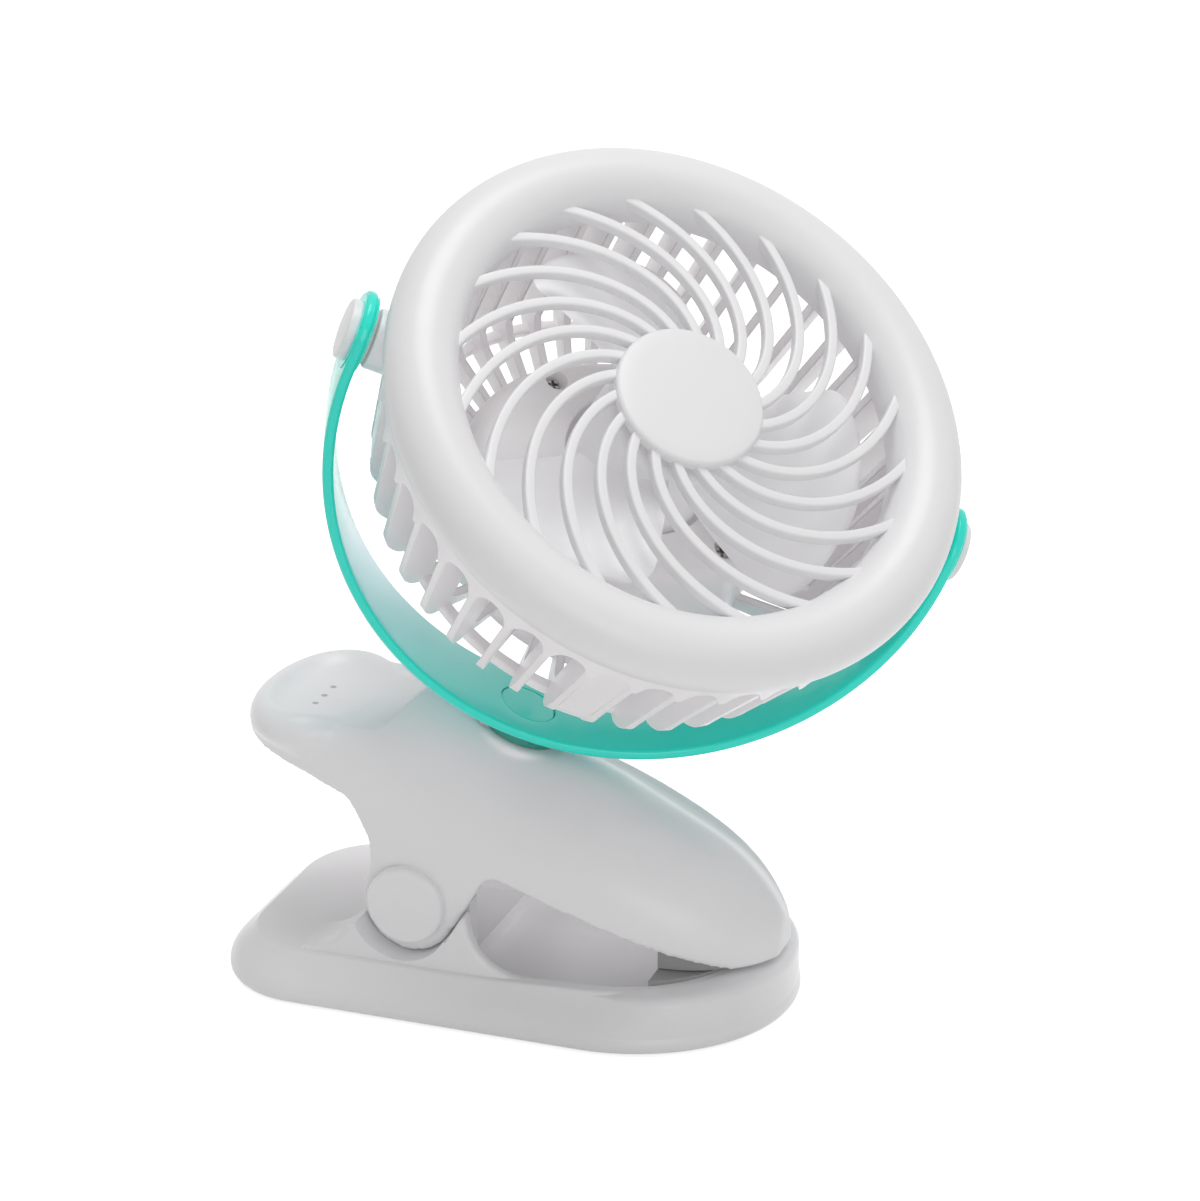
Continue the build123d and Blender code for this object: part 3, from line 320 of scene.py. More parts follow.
def addPaintedGlowAlongY(material, nearGlow, tone, strength, nearY, farY):
    # painted glow on the tray, dim on the near side and bright on the far side, standing in for light let through
    # its own wall
    tree = material.node_tree
    shader = tree.nodes["Principled BSDF"]
    coords = tree.nodes.new("ShaderNodeTexCoord")
    parts = tree.nodes.new("ShaderNodeSeparateXYZ")
    share = addRange(tree, nearY, farY)
    mix = addColourMix(tree)
    mix.inputs["A"].default_value = (*nearGlow, 1)
    mix.inputs["B"].default_value = (*tone, 1)
    tree.links.new(coords.outputs["Object"], parts.inputs[0])
    tree.links.new(parts.outputs["Y"], share.inputs["Value"])
    tree.links.new(share.outputs["Result"], mix.inputs["Factor"])
    tree.links.new(mix.outputs["Result"], shader.inputs["Emission Color"])
    shader.inputs["Emission Strength"].default_value = strength


# each finish: name, light tone, deep tone, then its smoothest and roughest where it has them
# the glow values are a painted glow that lifts the shade on the white mouldings
finishes = {
    "white_clip": plastic("whiteClipPlastic", (0.80, 0.795, 0.805), (0.785, 0.78, 0.79), 0.30, 0.34,
                          bump=0.03, paintedGlow=0.045),
    "white_head": plastic("whiteHeadPlastic", (0.82, 0.815, 0.825), (0.805, 0.80, 0.81), 0.33, 0.38,
                          bump=0.03, paintedGlow=0.02),
    "white_fan": plastic("whiteBladePlastic", (0.84, 0.835, 0.845), (0.82, 0.815, 0.825), 0.30, 0.42,
                         paintedGlow=0.09),
    "white_button": plastic("whiteButtonPlastic", (0.78, 0.78, 0.79), (0.74, 0.74, 0.75), 0.34, 0.46),
    "white_sole": plastic("whiteSolePlastic", (0.76, 0.76, 0.77), (0.71, 0.71, 0.72), 0.5, 0.62,
                          grainScale=1400.0, bump=0.18),
    # the pale colour is the painted reflection at glancing angles, and also the tint of the bounce
    "turquoise": turquoise("turquoisePlastic", (0.012, 0.84, 0.68), (0.010, 0.80, 0.65), (0.60, 0.93, 1.0),
                           yokeLook),
    # a darker copy of the yoke's turquoise: painted shade for the parts in the yoke's shadow
    "turquoise_deep": plastic("shadedTurquoisePlastic", (0.01, 0.28, 0.22), (0.008, 0.24, 0.19), 0.26, 0.36),
    "grey_rubber": rubber("greyPadRubber", (0.40, 0.40, 0.405), (0.35, 0.35, 0.355)),
    "foot_rubber": rubber("darkFootRubber", (0.10, 0.10, 0.105), (0.07, 0.07, 0.075)),
    "screw_steel": metal("screwSteel", (0.66, 0.65, 0.63), (0.50, 0.49, 0.47), 0.22, 0.38),
    "bright_steel": metal("groundSteel", (0.72, 0.72, 0.73), (0.60, 0.60, 0.61), 0.16, 0.30),
    "spring_steel": metal("springWire", (0.50, 0.50, 0.52), (0.36, 0.36, 0.38), 0.25, 0.42),
    "washer_nylon": plastic("nylonWasher", (0.74, 0.73, 0.69), (0.68, 0.67, 0.62), 0.42, 0.55),
    "motor_steel": metal("motorCan", (0.66, 0.66, 0.68), (0.54, 0.54, 0.56), 0.24, 0.40, scale=800.0),
    "motor_brass": metal("motorBrass", (0.74, 0.56, 0.26), (0.60, 0.43, 0.18), 0.22, 0.38),
    "cell_wrap": plastic("cellWrap", (0.10, 0.26, 0.56), (0.08, 0.21, 0.48), 0.2, 0.32),
    "board_green": plastic("boardMask", (0.03, 0.27, 0.11), (0.02, 0.20, 0.08), 0.25, 0.4,
                           grainScale=1600.0),
    "inlet_steel": metal("inletSheet", (0.66, 0.66, 0.68), (0.55, 0.55, 0.57), 0.2, 0.34),
    "lens_clear": plastic("lensPlastic", (0.86, 0.88, 0.90), (0.80, 0.83, 0.86), 0.06, 0.12),
}
baseFinish = plastic("whiteBasePlastic", (0.80, 0.795, 0.805), (0.785, 0.78, 0.79), 0.30, 0.34, bump=0.03)
# painted glow over the base's tray and nose rim, rising towards the far side
addPaintedGlowAlongY(baseFinish, nearGlow=(0.12, 0.12, 0.12), tone=(1.0, 0.955, 0.975), strength=0.15, nearY=-0.022,
             farY=0.008)
# the thumb dots' darker grey is painted shade standing in for the hollows of the dimples
dotShadeFinish = plastic("dotPaintedShade", (0.52, 0.52, 0.53), (0.47, 0.47, 0.48), 0.4, 0.5)
# the cage's glow is a painted glow that lifts the shade inside the open cage
cageFinish = plastic("whiteCagePlastic", (0.83, 0.815, 0.825), (0.81, 0.795, 0.805), 0.32, 0.44,
                     paintedGlow=0.085, paintedGlowTone=(1.0, 0.96, 0.975))
slotOf = {part["node"]: part["material_slot"] for part in frame["record"]["subparts"]}
for nodeName, node in nodes.items():
    node.data.materials.clear()
    node.data.materials.append(baseFinish if nodeName == "base_shell" else finishes[slotOf[nodeName]])
print("finishes made:", len(finishes))


# smooth shading on the solids, with sharp edges kept
smoothing = {"weld": 0.00002, "angle": 32.0}
for node in nodes.values():
    for face in node.data.polygons:
        face.use_smooth = True
    weld = node.modifiers.new("weld", "WELD")
    weld.merge_threshold = smoothing["weld"]
    split = node.modifiers.new("edges", "EDGE_SPLIT")
    split.split_angle = math.radians(smoothing["angle"])
print("solids smoothed")


# mesh helpers: outlines in millimetres, pieces set down in the row frame
def roundedOutline(corners, steps):
    outline = []
    count = len(corners)
    for index, (x, y, radius) in enumerate(corners):
        corner = Vector((x, y))
        before = (Vector(corners[index - 1][:2]) - corner).normalized()
        after = (Vector(corners[(index + 1) % count][:2]) - corner).normalized()
        halfAngle = before.angle(after) / 2
        centre = corner + (before + after).normalized() * (radius / math.sin(halfAngle))
        first = corner + before * (radius / math.tan(halfAngle)) - centre
        last = corner + after * (radius / math.tan(halfAngle)) - centre
        for step in range(steps + 1):
            share = step / steps
            spoke = (first * (1 - share) + last * share).normalized() * radius
            outline.append(tuple(centre + spoke))
    return outline


def arcPoints(centre, radius, startAngle, endAngle, steps):
    points = []
    for step in range(steps + 1):
        angle = math.radians(startAngle + (endAngle - startAngle) * step / steps)
        points.append((centre[0] + radius * math.cos(angle), centre[1] + radius * math.sin(angle)))
    return points


class Shell:
    # gathers vertices and faces of one piece
    def __init__(self):
        self.points = []
        self.faces = []

    def add(self, points, faces):
        first = len(self.points)
        self.points.extend(points)
        self.faces.extend([tuple(first + index for index in face) for face in faces])

    def strip(self, rows, closedAcross, closedAlong):
        count = len(rows[0])
        points = [point for row in rows for point in row]
        faces = []
        across = count if closedAcross else count - 1
        along = len(rows) if closedAlong else len(rows) - 1
        for row in range(along):
            following = (row + 1) % len(rows)
            for index in range(across):
                beside = (index + 1) % count
                faces.append((row * count + index, row * count + beside, following * count + beside,
                              following * count + index))
        if closedAcross and not closedAlong:
            faces.append(tuple(range(count - 1, -1, -1)))
            faces.append(tuple(range((len(rows) - 1) * count, len(rows) * count)))
        self.add(points, faces)

    def turned(self, profile, steps, span=360.0, start=0.0):
        whole = span >= 360.0
        rows = []
        for step in range(steps if whole else steps + 1):
            angle = math.radians(start + span * step / steps)
            rows.append([(r * math.cos(angle), r * math.sin(angle), z) for r, z in profile])
        self.strip(rows, True, whole)

    def piece(self, name, matrix, slotName, body, angle=35.0, finish=None):
        mesh = bpy.data.meshes.new(name)
        mesh.from_pydata([tuple(matrix @ (Vector(point) * mm)) for point in self.points], [], self.faces)
        made = bmesh.new()
        made.from_mesh(mesh)
        bmesh.ops.remove_doubles(made, verts=made.verts, dist=tiny)
        bmesh.ops.recalc_face_normals(made, faces=made.faces)
        for face in made.faces:
            face.smooth = True
        made.to_mesh(mesh)
        made.free()
        obj = bpy.data.objects.new(name, mesh)
        scene.collection.objects.link(obj)
        mesh.materials.append(finish or finishes[slotName])
        split = obj.modifiers.new("edges", "EDGE_SPLIT")
        split.split_angle = math.radians(angle)
        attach(obj, body)
        return obj


def spin(points, angle):
    turn = Matrix.Rotation(math.radians(angle), 3, "Z")
    return [tuple(turn @ Vector(point)) for point in points]


# front ring, spiral bars and plain centre disc
grille = {"ringRadius": 71.0, "tube": 8.6, "planeZ": 13.3, "rearZ": 9.7, "rearGap": 0.3, "innerEdge": 0.4,
          "outerEdge": 0.25, "tubeSteps": 56, "ringSteps": 240,
          "discRadius": 18.1, "discFrontZ": 22.0, "discThick": 3.4, "discDome": 0.5,
          "domeShares": (0.0, 0.3, 0.6, 0.8), "rimRound": 1.1, "rimDrop": 1.6, "rimFrom": 80.0,
          "rimSteps": 7, "discSteps": 120,
          "bars": 20, "barWidth": 2.4, "barDepth": 2.8, "rearRound": 0.35, "frontRound": 0.55,
          "roundSteps": 4, "frontInnerZ": 21.0, "frontOuterZ": 17.9, "rootRadius": 16.5, "tipRadius": 56.0,
          "sweep": 62.0, "phase": -1.2, "barSteps": 32}


def buildFrontGrille(size):
    shell = Shell()
    tube = size["tube"]
    rear = size["rearZ"]
    centre = (size["ringRadius"] - tube, size["planeZ"])
    drop = math.degrees(math.asin((size["planeZ"] - rear - size["rearGap"]) / tube))
    innerRadius = centre[0] - tube
    outerRadius = centre[0] + tube * math.cos(math.radians(drop))
    profile = [(innerRadius + size["innerEdge"], rear), (innerRadius, rear + size["innerEdge"])]
    profile += arcPoints(centre, tube, 180.0, -drop, size["tubeSteps"])
    profile += [(outerRadius - size["outerEdge"], rear)]
    shell.turned(profile, size["ringSteps"])
    disc = size["discRadius"]
    front = size["discFrontZ"]
    discRear = front - size["discThick"]
    dome = [(disc * share, front - size["discDome"] * share * share) for share in size["domeShares"]]
    rimCentre = (disc - size["rimRound"], front - size["rimDrop"])
    rim = arcPoints(rimCentre, size["rimRound"], size["rimFrom"], 0.0, size["rimSteps"])
    shell.turned(dome + rim + [(disc, discRear), (0.0, discRear)], size["discSteps"])
    half = size["barWidth"] / 2
    depth = size["barDepth"]
    section = roundedOutline([(-half, -depth, size["rearRound"]), (half, -depth, size["rearRound"]),
                              (half, 0, size["frontRound"]), (-half, 0, size["frontRound"])],
                             size["roundSteps"])
    reach = size["tipRadius"] - size["rootRadius"]
    fall = size["frontOuterZ"] - size["frontInnerZ"]
    for bar in range(size["bars"]):
        rows = []
        for step in range(size["barSteps"] + 1):
            share = step / size["barSteps"]
            radius = size["rootRadius"] + share * reach
            turn = math.radians(size["phase"] + bar * 360.0 / size["bars"] + share * size["sweep"])
            lean = turn + math.atan(math.radians(size["sweep"]) * radius / reach) + math.pi / 2
            frontZ = size["frontInnerZ"] + radius / size["tipRadius"] * fall
            middle = Vector((radius * math.cos(turn), radius * math.sin(turn), frontZ))
            across = Vector((math.cos(lean), math.sin(lean), 0))
            rows.append([tuple(middle + across * w + Vector((0, 0, d))) for w, d in section])
        shell.strip(rows, True, False)
    return shell.piece("frontGrille", headMatrix, "white_head", "head")


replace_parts(buildFrontGrille(grille), "front_grille")
print("front grille built")


# rear cage: tapered bowl of radial fins, one rear ring, flared drum, side panels and pivot bosses
cage = {"top": (69.0, 8.0), "flangeTop": 9.7, "flangeEdge": 0.35, "flangeSteps": 240,
        "sideLow": (61.4, -25.5), "corner": (59.2, -31.2), "cornerEnd": (54.2, -35.6), "insetOut": 0.86,
        "insetUp": 0.5, "cornerSteps": 10,
        "rootRadius": 33.0, "rootLow": -40.8, "rootHigh": -36.6, "bend": (50.0, -31.8),
        "innerLow": (52.8, -29.0), "finInner": 55.5, "fins": 40, "finThick": 2.0, "finEdge": 0.6, "lap": 0.6,
        "shell": 2.0, "panelInset": 0.3, "panelLap": 0.4, "panelSteps": 14, "bottomPitches": 1.2,
        "pivotPitches": 2.6,
        "rearRing": 52.0, "rearRingWide": 2.8, "rearRingLow": -35.8, "rearRingHigh": -33.0,
        "rearRingEdge": 0.7, "rearRingSteps": 200,
        "archRound": 4.3, "archInner": 62.5, "archDrop": 3.2, "archLowIn": 0.7, "archTopIn": 0.1,
        "archSteps": 18,
        "bossRadius": 7.2, "bossRoot": 58.0, "bossEnd": 71.2, "bossRound": 0.7, "bossEase": 0.2,
        "boreRadius": 2.6, "boreDeep": 8.0, "bossSteps": 64,
        "hubHole": 18.9, "hubHoleLow": -16.2, "hubHoleIn": 12.7, "holeEdge": 0.3, "plateZ": -9.9,
        "domeLong": 42.0, "domeShort": 29.5, "domeAxis": 203.0, "domeRound": 6.5, "domeFall": 7.0,
        "domeRear": 39.8, "flatSteps": 8, "roundSteps": 14, "skirtSteps": 10, "domeSteps": 360,
        "screwAt": 28.0, "screwAngle": 148.9, "wellRadius": 2.7, "wellCut": 0.7, "topFaces": range(3, 27),
        "wellRim": ((1.5, 0.04), (0.9, 0.05), (0.25, 0.03), (0.05, -0.08), (0.0, -0.35)), "wellDraft": 0.12,
        "wellMiddle": 0.01, "wellFloor": -14.0, "wellSteps": 72}


def cornerArc(size, inset):
    first = Vector(size["sideLow"]) - Vector((inset, 0))
    middle = Vector(size["corner"]) - Vector((inset * size["insetOut"], -inset * size["insetUp"]))
    last = Vector(size["cornerEnd"]) + Vector((0, inset))
    control = middle * 2 - (first + last) / 2
    points = []
    for step in range(size["cornerSteps"] + 1):
        share = step / size["cornerSteps"]
        spot = first * (1 - share) ** 2 + control * 2 * share * (1 - share) + last * share * share
        points.append((spot.x, spot.y))
    return points


def finPoints(size):
    topZ = size["top"][1] + size["lap"]
    outline = [(size["top"][0], topZ)] + cornerArc(size, 0.0)
    outline += [(size["rootRadius"], size["rootLow"]), (size["rootRadius"], size["rootHigh"]), size["bend"]]
    outline += [size["innerLow"], (size["finInner"], topZ)]
    made = bmesh.new()
    half = size["finThick"] / 2
    lower = [made.verts.new((r, -half, z)) for r, z in outline]
    upper = [made.verts.new((r, half, z)) for r, z in outline]
    made.faces.new(lower)
    made.faces.new(list(reversed(upper)))
    count = len(outline)
    for index in range(count):
        beside = (index + 1) % count
        made.faces.new((lower[index], upper[index], upper[beside], lower[beside]))
    rims = [edge for edge in made.edges if abs(edge.verts[0].co.y - edge.verts[1].co.y) < tiny]
    bmesh.ops.bevel(made, geom=rims, offset=size["finEdge"], segments=2, profile=0.6, affect="EDGES",
                    clamp_overlap=True)
    made.verts.index_update()
    points = [tuple(vert.co) for vert in made.verts]
    faces = [tuple(vert.index for vert in face.verts) for face in made.faces]
    made.free()
    return points, faces


def archRows(size, middle, pitch):
    radius, frontZ = size["top"]
    topZ = frontZ + size["lap"]
    halfSlot = math.radians(pitch) * radius / 2
    rows = []
    for step in range(size["archSteps"] + 1):
        along = -1 + 2 * step / size["archSteps"]
        offset = abs(along) * halfSlot - (halfSlot - size["finThick"] / 2 - size["archRound"])
        low = frontZ - size["archDrop"]
        if offset > 0:
            share = min(1.0, offset / size["archRound"])
            low -= size["archRound"] * (1 - math.sqrt(1 - share * share))
        angle = math.radians(middle + along * pitch / 2)
        section = ((size["archInner"], low), (radius - size["archLowIn"], low),
                   (radius - size["archTopIn"], topZ), (size["archInner"], topZ))
        rows.append([(r * math.cos(angle), r * math.sin(angle), z) for r, z in section])
    return rows


def panelProfile(size):
    outer = cornerArc(size, size["panelInset"])
    inner = cornerArc(size, size["panelInset"] + size["shell"])
    lip = size["top"][1] + size["panelLap"]
    outerTop = size["top"][0] - size["panelInset"]
    return [(outerTop - size["shell"], lip), (outerTop, lip)] + outer + list(reversed(inner))


def band(radius, width, low, high, edge, steps=3):
    return roundedOutline([(radius - width / 2, low, edge), (radius + width / 2, low, edge),
                           (radius + width / 2, high, edge), (radius - width / 2, high, edge)], steps)


def domeReach(size, angle):
    share = math.cos(angle - math.radians(size["domeAxis"])) ** 2
    return size["domeShort"] + (size["domeLong"] - size["domeShort"]) * share


def domeHeight(size, place):
    reach = domeReach(size, math.atan2(place.y, place.x))
    over = (place.to_2d().length - reach + size["domeRound"]) / size["domeRound"]
    share = 1 - math.sqrt(1 - min(1.0, max(0.0, over)))
    return size["plateZ"] - size["domeFall"] * share * share


def domeProfile(size, angle):
    reach = domeReach(size, angle)
    flat = reach - size["domeRound"]
    hole = size["hubHole"]
    edge = size["holeEdge"]
    top = size["plateZ"]
    profile = [(size["hubHoleIn"], size["hubHoleLow"]), (hole, size["hubHoleLow"])]
    profile += [(hole, top - edge), (hole + edge, top)]
    for step in range(1, size["flatSteps"] + 1):
        profile.append((hole + edge + (flat - hole - edge) * step / size["flatSteps"], top))
    for step in range(1, size["roundSteps"] + 1):
        share = step / size["roundSteps"]
        out = flat + size["domeRound"] * (2 * share - share * share)
        profile.append((out, top - size["domeFall"] * share * share))
    rear = max(reach, size["domeRear"])
    low = top - size["domeFall"]
    for step in range(1, size["skirtSteps"] + 1):
        share = step / size["skirtSteps"]
        out = reach + (rear - reach) * share * share
        profile.append((out, low + (size["rootLow"] - low) * (2 * share - share * share)))
    return profile + [(size["hubHoleIn"], size["rootLow"])]


def screwSpots(size):
    spots = []
    for turn in (0, 180):
        angle = math.radians(size["screwAngle"] + turn)
        spots.append(Vector((size["screwAt"] * math.cos(angle), size["screwAt"] * math.sin(angle), 0)))
    return spots


def addWell(shell, size, spot):
    rows = []
    for step in range(size["wellSteps"]):
        angle = 2 * math.pi * step / size["wellSteps"]
        way = Vector((math.cos(angle), math.sin(angle), 0))
        row = []
        for reach, lift in size["wellRim"]:
            place = spot + way * (size["wellRadius"] + reach)
            row.append((place.x, place.y, domeHeight(size, place) + lift))
        for reach in (size["wellRadius"] - size["wellDraft"], size["wellMiddle"]):
            place = spot + way * reach
            row.append((place.x, place.y, size["wellFloor"]))
        rows.append(row)
    shell.strip(rows, False, True)


def addDome(shell, size):
    spots = screwSpots(size)
    steps = size["domeSteps"]
    points = []
    for step in range(steps):
        angle = 2 * math.pi * step / steps
        profile = domeProfile(size, angle)
        points += [Vector((r * math.cos(angle), r * math.sin(angle), z)) for r, z in profile]
    count = len(profile)
    faces = []
    for step in range(steps):
        here = step * count
        there = (step + 1) % steps * count
        for index in range(count):
            beside = (index + 1) % count
            face = (here + index, here + beside, there + beside, there + index)
            middle = (points[face[0]] + points[face[2]]) / 2
            near = min((middle - spot).to_2d().length for spot in spots)
            if index in size["topFaces"] and near < size["wellRadius"] + size["wellCut"]:
                continue                                  # left open for the screw's well
            faces.append(face)
    shell.add([tuple(point) for point in points], faces)
    for spot in spots:
        addWell(shell, size, spot)


def addBoss(shell, size, side):
    boss = Shell()
    radius = size["bossRadius"]
    end = size["bossEnd"]
    boreEnd = end - size["boreDeep"]
    boss.turned([(0.0, size["bossRoot"]), (radius, size["bossRoot"]), (radius, end - size["bossRound"]),
                 (radius - size["bossEase"], end - size["bossEase"]), (radius - size["bossRound"], end),
                 (size["boreRadius"], end), (size["boreRadius"], boreEnd), (0.0, boreEnd)], size["bossSteps"])
    shell.add([(side * z, x, y * side) for x, y, z in boss.points], boss.faces)


def buildRearCage(size):
    shell = Shell()
    pitch = 360.0 / size["fins"]
    radius, frontZ = size["top"]
    inner = size["finInner"]
    flange = band((inner + radius) / 2, radius - inner, frontZ, size["flangeTop"], size["flangeEdge"])
    shell.turned(flange, size["flangeSteps"])
    ring = band(size["rearRing"], size["rearRingWide"], size["rearRingLow"], size["rearRingHigh"],
                size["rearRingEdge"])
    shell.turned(ring, size["rearRingSteps"])
    addDome(shell, size)
    points, faces = finPoints(size)
    for fin in range(size["fins"]):
        shell.add(spin(points, (fin + 0.5) * pitch), faces)
        shell.strip(archRows(size, fin * pitch, pitch), True, False)
    profile = panelProfile(size)
    panels = ((-90.0, size["bottomPitches"]), (0.0, size["pivotPitches"]), (180.0, size["pivotPitches"]))
    for angle, pitches in panels:
        shell.turned(profile, size["panelSteps"], pitches * pitch, angle - pitches * pitch / 2)
    for side in (-1, 1):
        addBoss(shell, size, side)
    return shell.piece("rearCage", headMatrix, "white_head", "head", finish=cageFinish)


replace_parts(buildRearCage(cage), "rear_cage")
print("rear cage built")


# two cross-head screws at the bottom of the wells
crossScrew = {"headRadius": 2.05, "headTop": -12.3, "headLow": -14.0, "armLong": 1.35, "armWide": 0.34,
              "armLeast": 0.001, "recess": 1.2, "recessTaper": 0.75, "armEdge": ((0.0, 0.1), (0.08, 0.03)),
              "rimEdge": ((0.55, 0.1), (0.2, 0.35), (0.0, 0.8)), "shank": 1.4, "shankLow": -30.0,
              "middle": 0.01, "lean": 20.0, "steps": 144}


def crossEdge(size, angle):
    # distance from the middle to the rim of the cross recess
    across = abs(math.cos(angle)), abs(math.sin(angle))
    longer, shorter = max(across), min(across)
    return min(size["armLong"] / longer, size["armWide"] / max(shorter, size["armLeast"]))


def buildHubScrews(size, spots):
    shell = Shell()
    top = size["headTop"]
    rim = size["headRadius"]
    recessZ = top - size["recess"]
    lean = math.radians(size["lean"])
    for spot in spots:
        rows = []
        for step in range(size["steps"]):
            angle = 2 * math.pi * step / size["steps"]
            arm = crossEdge(size, angle)
            way = Vector((math.cos(angle + lean), math.sin(angle + lean), 0))
            profile = [(size["middle"], recessZ), (arm * size["recessTaper"], recessZ)]
            profile += [(arm + out, top - down) for out, down in size["armEdge"]]
            profile += [(rim - inward, top - down) for inward, down in size["rimEdge"]]
            profile += [(rim, size["headLow"]), (size["shank"], size["headLow"])]
            profile += [(size["shank"], size["shankLow"]), (size["middle"], size["shankLow"])]
            rows.append([tuple(spot + way * r + Vector((0, 0, z))) for r, z in profile])
        shell.strip(rows, False, True)
    return shell.piece("hubScrews", headMatrix, "screw_steel", "head", angle=40.0)


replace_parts(buildHubScrews(crossScrew, screwSpots(cage)), "hub_screws")
print("hub screws built")


# impeller: cup hub and three broad cambered blades
rotor = {"hubRadius": 17.4, "hubFrontZ": 13.4, "hubRearZ": -12.8, "hubWall": 1.8, "hubRound": 2.5,
         "roundSteps": 8, "hubSteps": 96,
         "blades": 3, "tipRadius": 49.5, "rootRadius": 16.2, "thick": 1.6, "midZ": 2.6, "rootWide": 21.0,
         "tipWide": 59.0, "rootPitch": 38.0, "tipPitch": 16.5, "camber": 1.6, "phase": -2.0,
         "roundFrom": 0.72, "roundPower": 3, "roundLeast": 0.02, "roundEase": 0.34, "edgePower": 8,
         "tipThin": 0.2, "spanSteps": 30, "chordSteps": 20}


def buildImpeller(size):
    shell = Shell()
    hub = size["hubRadius"]
    hubFront = size["hubFrontZ"]
    wallIn = hub - size["hubWall"]
    floorZ = hubFront - size["hubWall"]
    roundCentre = (hub - size["hubRound"], hubFront - size["hubRound"])
    profile = [(0.0, hubFront)]
    profile += arcPoints(roundCentre, size["hubRound"], 90.0, 0.0, size["roundSteps"])
    profile += [(hub, size["hubRearZ"]), (wallIn, size["hubRearZ"]), (wallIn, floorZ), (0.0, floorZ)]
    shell.turned(profile, size["hubSteps"])
    span = size["tipRadius"] - size["rootRadius"]
    for blade in range(size["blades"]):
        bladeTurn = math.radians(size["phase"] + blade * 360.0 / size["blades"])
        rows = []
        for step in range(size["spanSteps"] + 1):
            share = step / size["spanSteps"]
            radius = size["rootRadius"] + span * share
            wide = size["rootWide"] + (size["tipWide"] - size["rootWide"]) * share
            if share > size["roundFrom"]:
                over = (share - size["roundFrom"]) / (1 - size["roundFrom"])
                wide *= max(size["roundLeast"], (1 - over ** size["roundPower"])) ** size["roundEase"]
            pitch = math.radians(size["rootPitch"] + (size["tipPitch"] - size["rootPitch"]) * share)
            tipShare = 1.0 if step < size["spanSteps"] else size["tipThin"]
            topRow = []
            underRow = []
            for index in range(size["chordSteps"] + 1):
                chord = index / size["chordSteps"] - 0.5
                angle = bladeTurn + chord * wide / radius
                bow = size["camber"] * (1 - 4 * chord * chord) * share
                height = size["midZ"] + chord * wide * math.tan(pitch) + bow
                fullness = math.sqrt(max(0.0, 1 - (2 * chord) ** size["edgePower"]))
                edge = size["thick"] / 2 * fullness * tipShare
                topRow.append((radius * math.cos(angle), radius * math.sin(angle), height + edge))
                underRow.append((radius * math.cos(angle), radius * math.sin(angle), height - edge))
            rows.append(topRow + list(reversed(underRow)))
        shell.strip(rows, True, False)
    return shell.piece("impellerRotor", headMatrix, "white_fan", "rotor", angle=50.0)


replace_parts(buildImpeller(rotor), "impeller")
print("impeller built")


# upper jaw: the solid's own skin and the lever's wide lip, softened as one moulding
lever = {"centre": (-50.4, 0.0), "level": 66.8, "tailReach": 16.4, "sideReach": 26.0, "bodyReach": 20.0,
         "castFrom": 45.0, "fadeFrom": 0.1, "fadeTo": 0.8, "inner": 0.58, "lipWide": 4.6, "lipHigh": 2.1,
         "edgeDrop": 5.4, "bury": 0.25, "plateLow": 1.8, "plateIn": 0.4, "wallIn": 1.0, "tailX": -66.8,
         "tailLowZ": 62.5, "lowSlope": 0.4025, "lowLift": 0.8, "riseSteps": 8, "lipSteps": 10,
         "flankSteps": 10, "steps": 180, "voxel": 0.00066, "relax": 0.5, "passes": 8}
dots = {"radius": 0.8, "pitch": 5.6, "castFrom": 90.0, "sink": 0.3, "edgeZ": 0.05, "edgeIn": 0.15,
        "topZ": 0.12, "steps": 28}


def softStep(value, low=0.0, high=1.0):
    share = min(1.0, max(0.0, (value - low) / (high - low)))
    return share * share * (3 - 2 * share)


def wallReach(size, surface, way, z):
    # distance from the centre to the solid's outer wall at one height
    middle = Vector((*size["centre"], z))
    hit = surface.ray_cast((middle + way * size["castFrom"]) * mm, -way)[0]
    return (hit / mm - middle).length if hit else size["castFrom"]


def leverLoop(size, surface, angle):
    ahead, across = math.cos(angle), math.sin(angle)
    way = Vector((ahead, across, 0.0))
    tailWard = 1 - softStep(ahead, size["fadeFrom"], size["fadeTo"])
    along = size["tailReach"] if ahead < 0 else size["bodyReach"]
    reach = 1 / math.hypot(ahead / along, across / size["sideReach"])
    inner = size["inner"] * reach
    crest = reach - size["lipWide"]
    top = size["level"] - size["bury"] + (size["bury"] + size["lipHigh"]) * tailWard
    rise = top - size["level"] + size["bury"]
    loop = []
    for step in range(size["riseSteps"] + 1):
        share = step / size["riseSteps"]
        loop.append((inner + (crest - inner) * share, size["level"] - size["bury"] + rise * softStep(share)))
    drop = size["bury"] + (size["edgeDrop"] - size["bury"]) * tailWard
    for step in range(1, size["lipSteps"] + 1):
        turn = math.pi / 2 * step / size["lipSteps"]
        loop.append((crest + size["lipWide"] * math.sin(turn), top - drop * (1 - math.cos(turn))))
    # the flank falls to the lever's lower edge and ends inside its wall
    reachX = size["centre"][0] + reach * ahead
    lowZ = size["tailLowZ"] - size["lowSlope"] * max(0.0, reachX - size["tailX"]) + size["lowLift"]
    edgeZ = loop[-1][1]
    lowZ = edgeZ + tailWard * min(0.0, lowZ - edgeZ)
    wall = min(reach, wallReach(size, surface, way, lowZ)) - size["wallIn"]
    for step in range(1, size["flankSteps"] + 1):
        share = step / size["flankSteps"]
        loop.append((reach + (wall - reach) * softStep(share), edgeZ + (lowZ - edgeZ) * share))
    plateZ = size["level"] - size["plateLow"]
    upper = min(wall, wallReach(size, surface, way, plateZ) - size["wallIn"])
    loop += [(upper - size["plateIn"], min(plateZ, edgeZ)), (inner, plateZ)]
    return [(size["centre"][0] + ahead * r, size["centre"][1] + across * r, z) for r, z in loop]


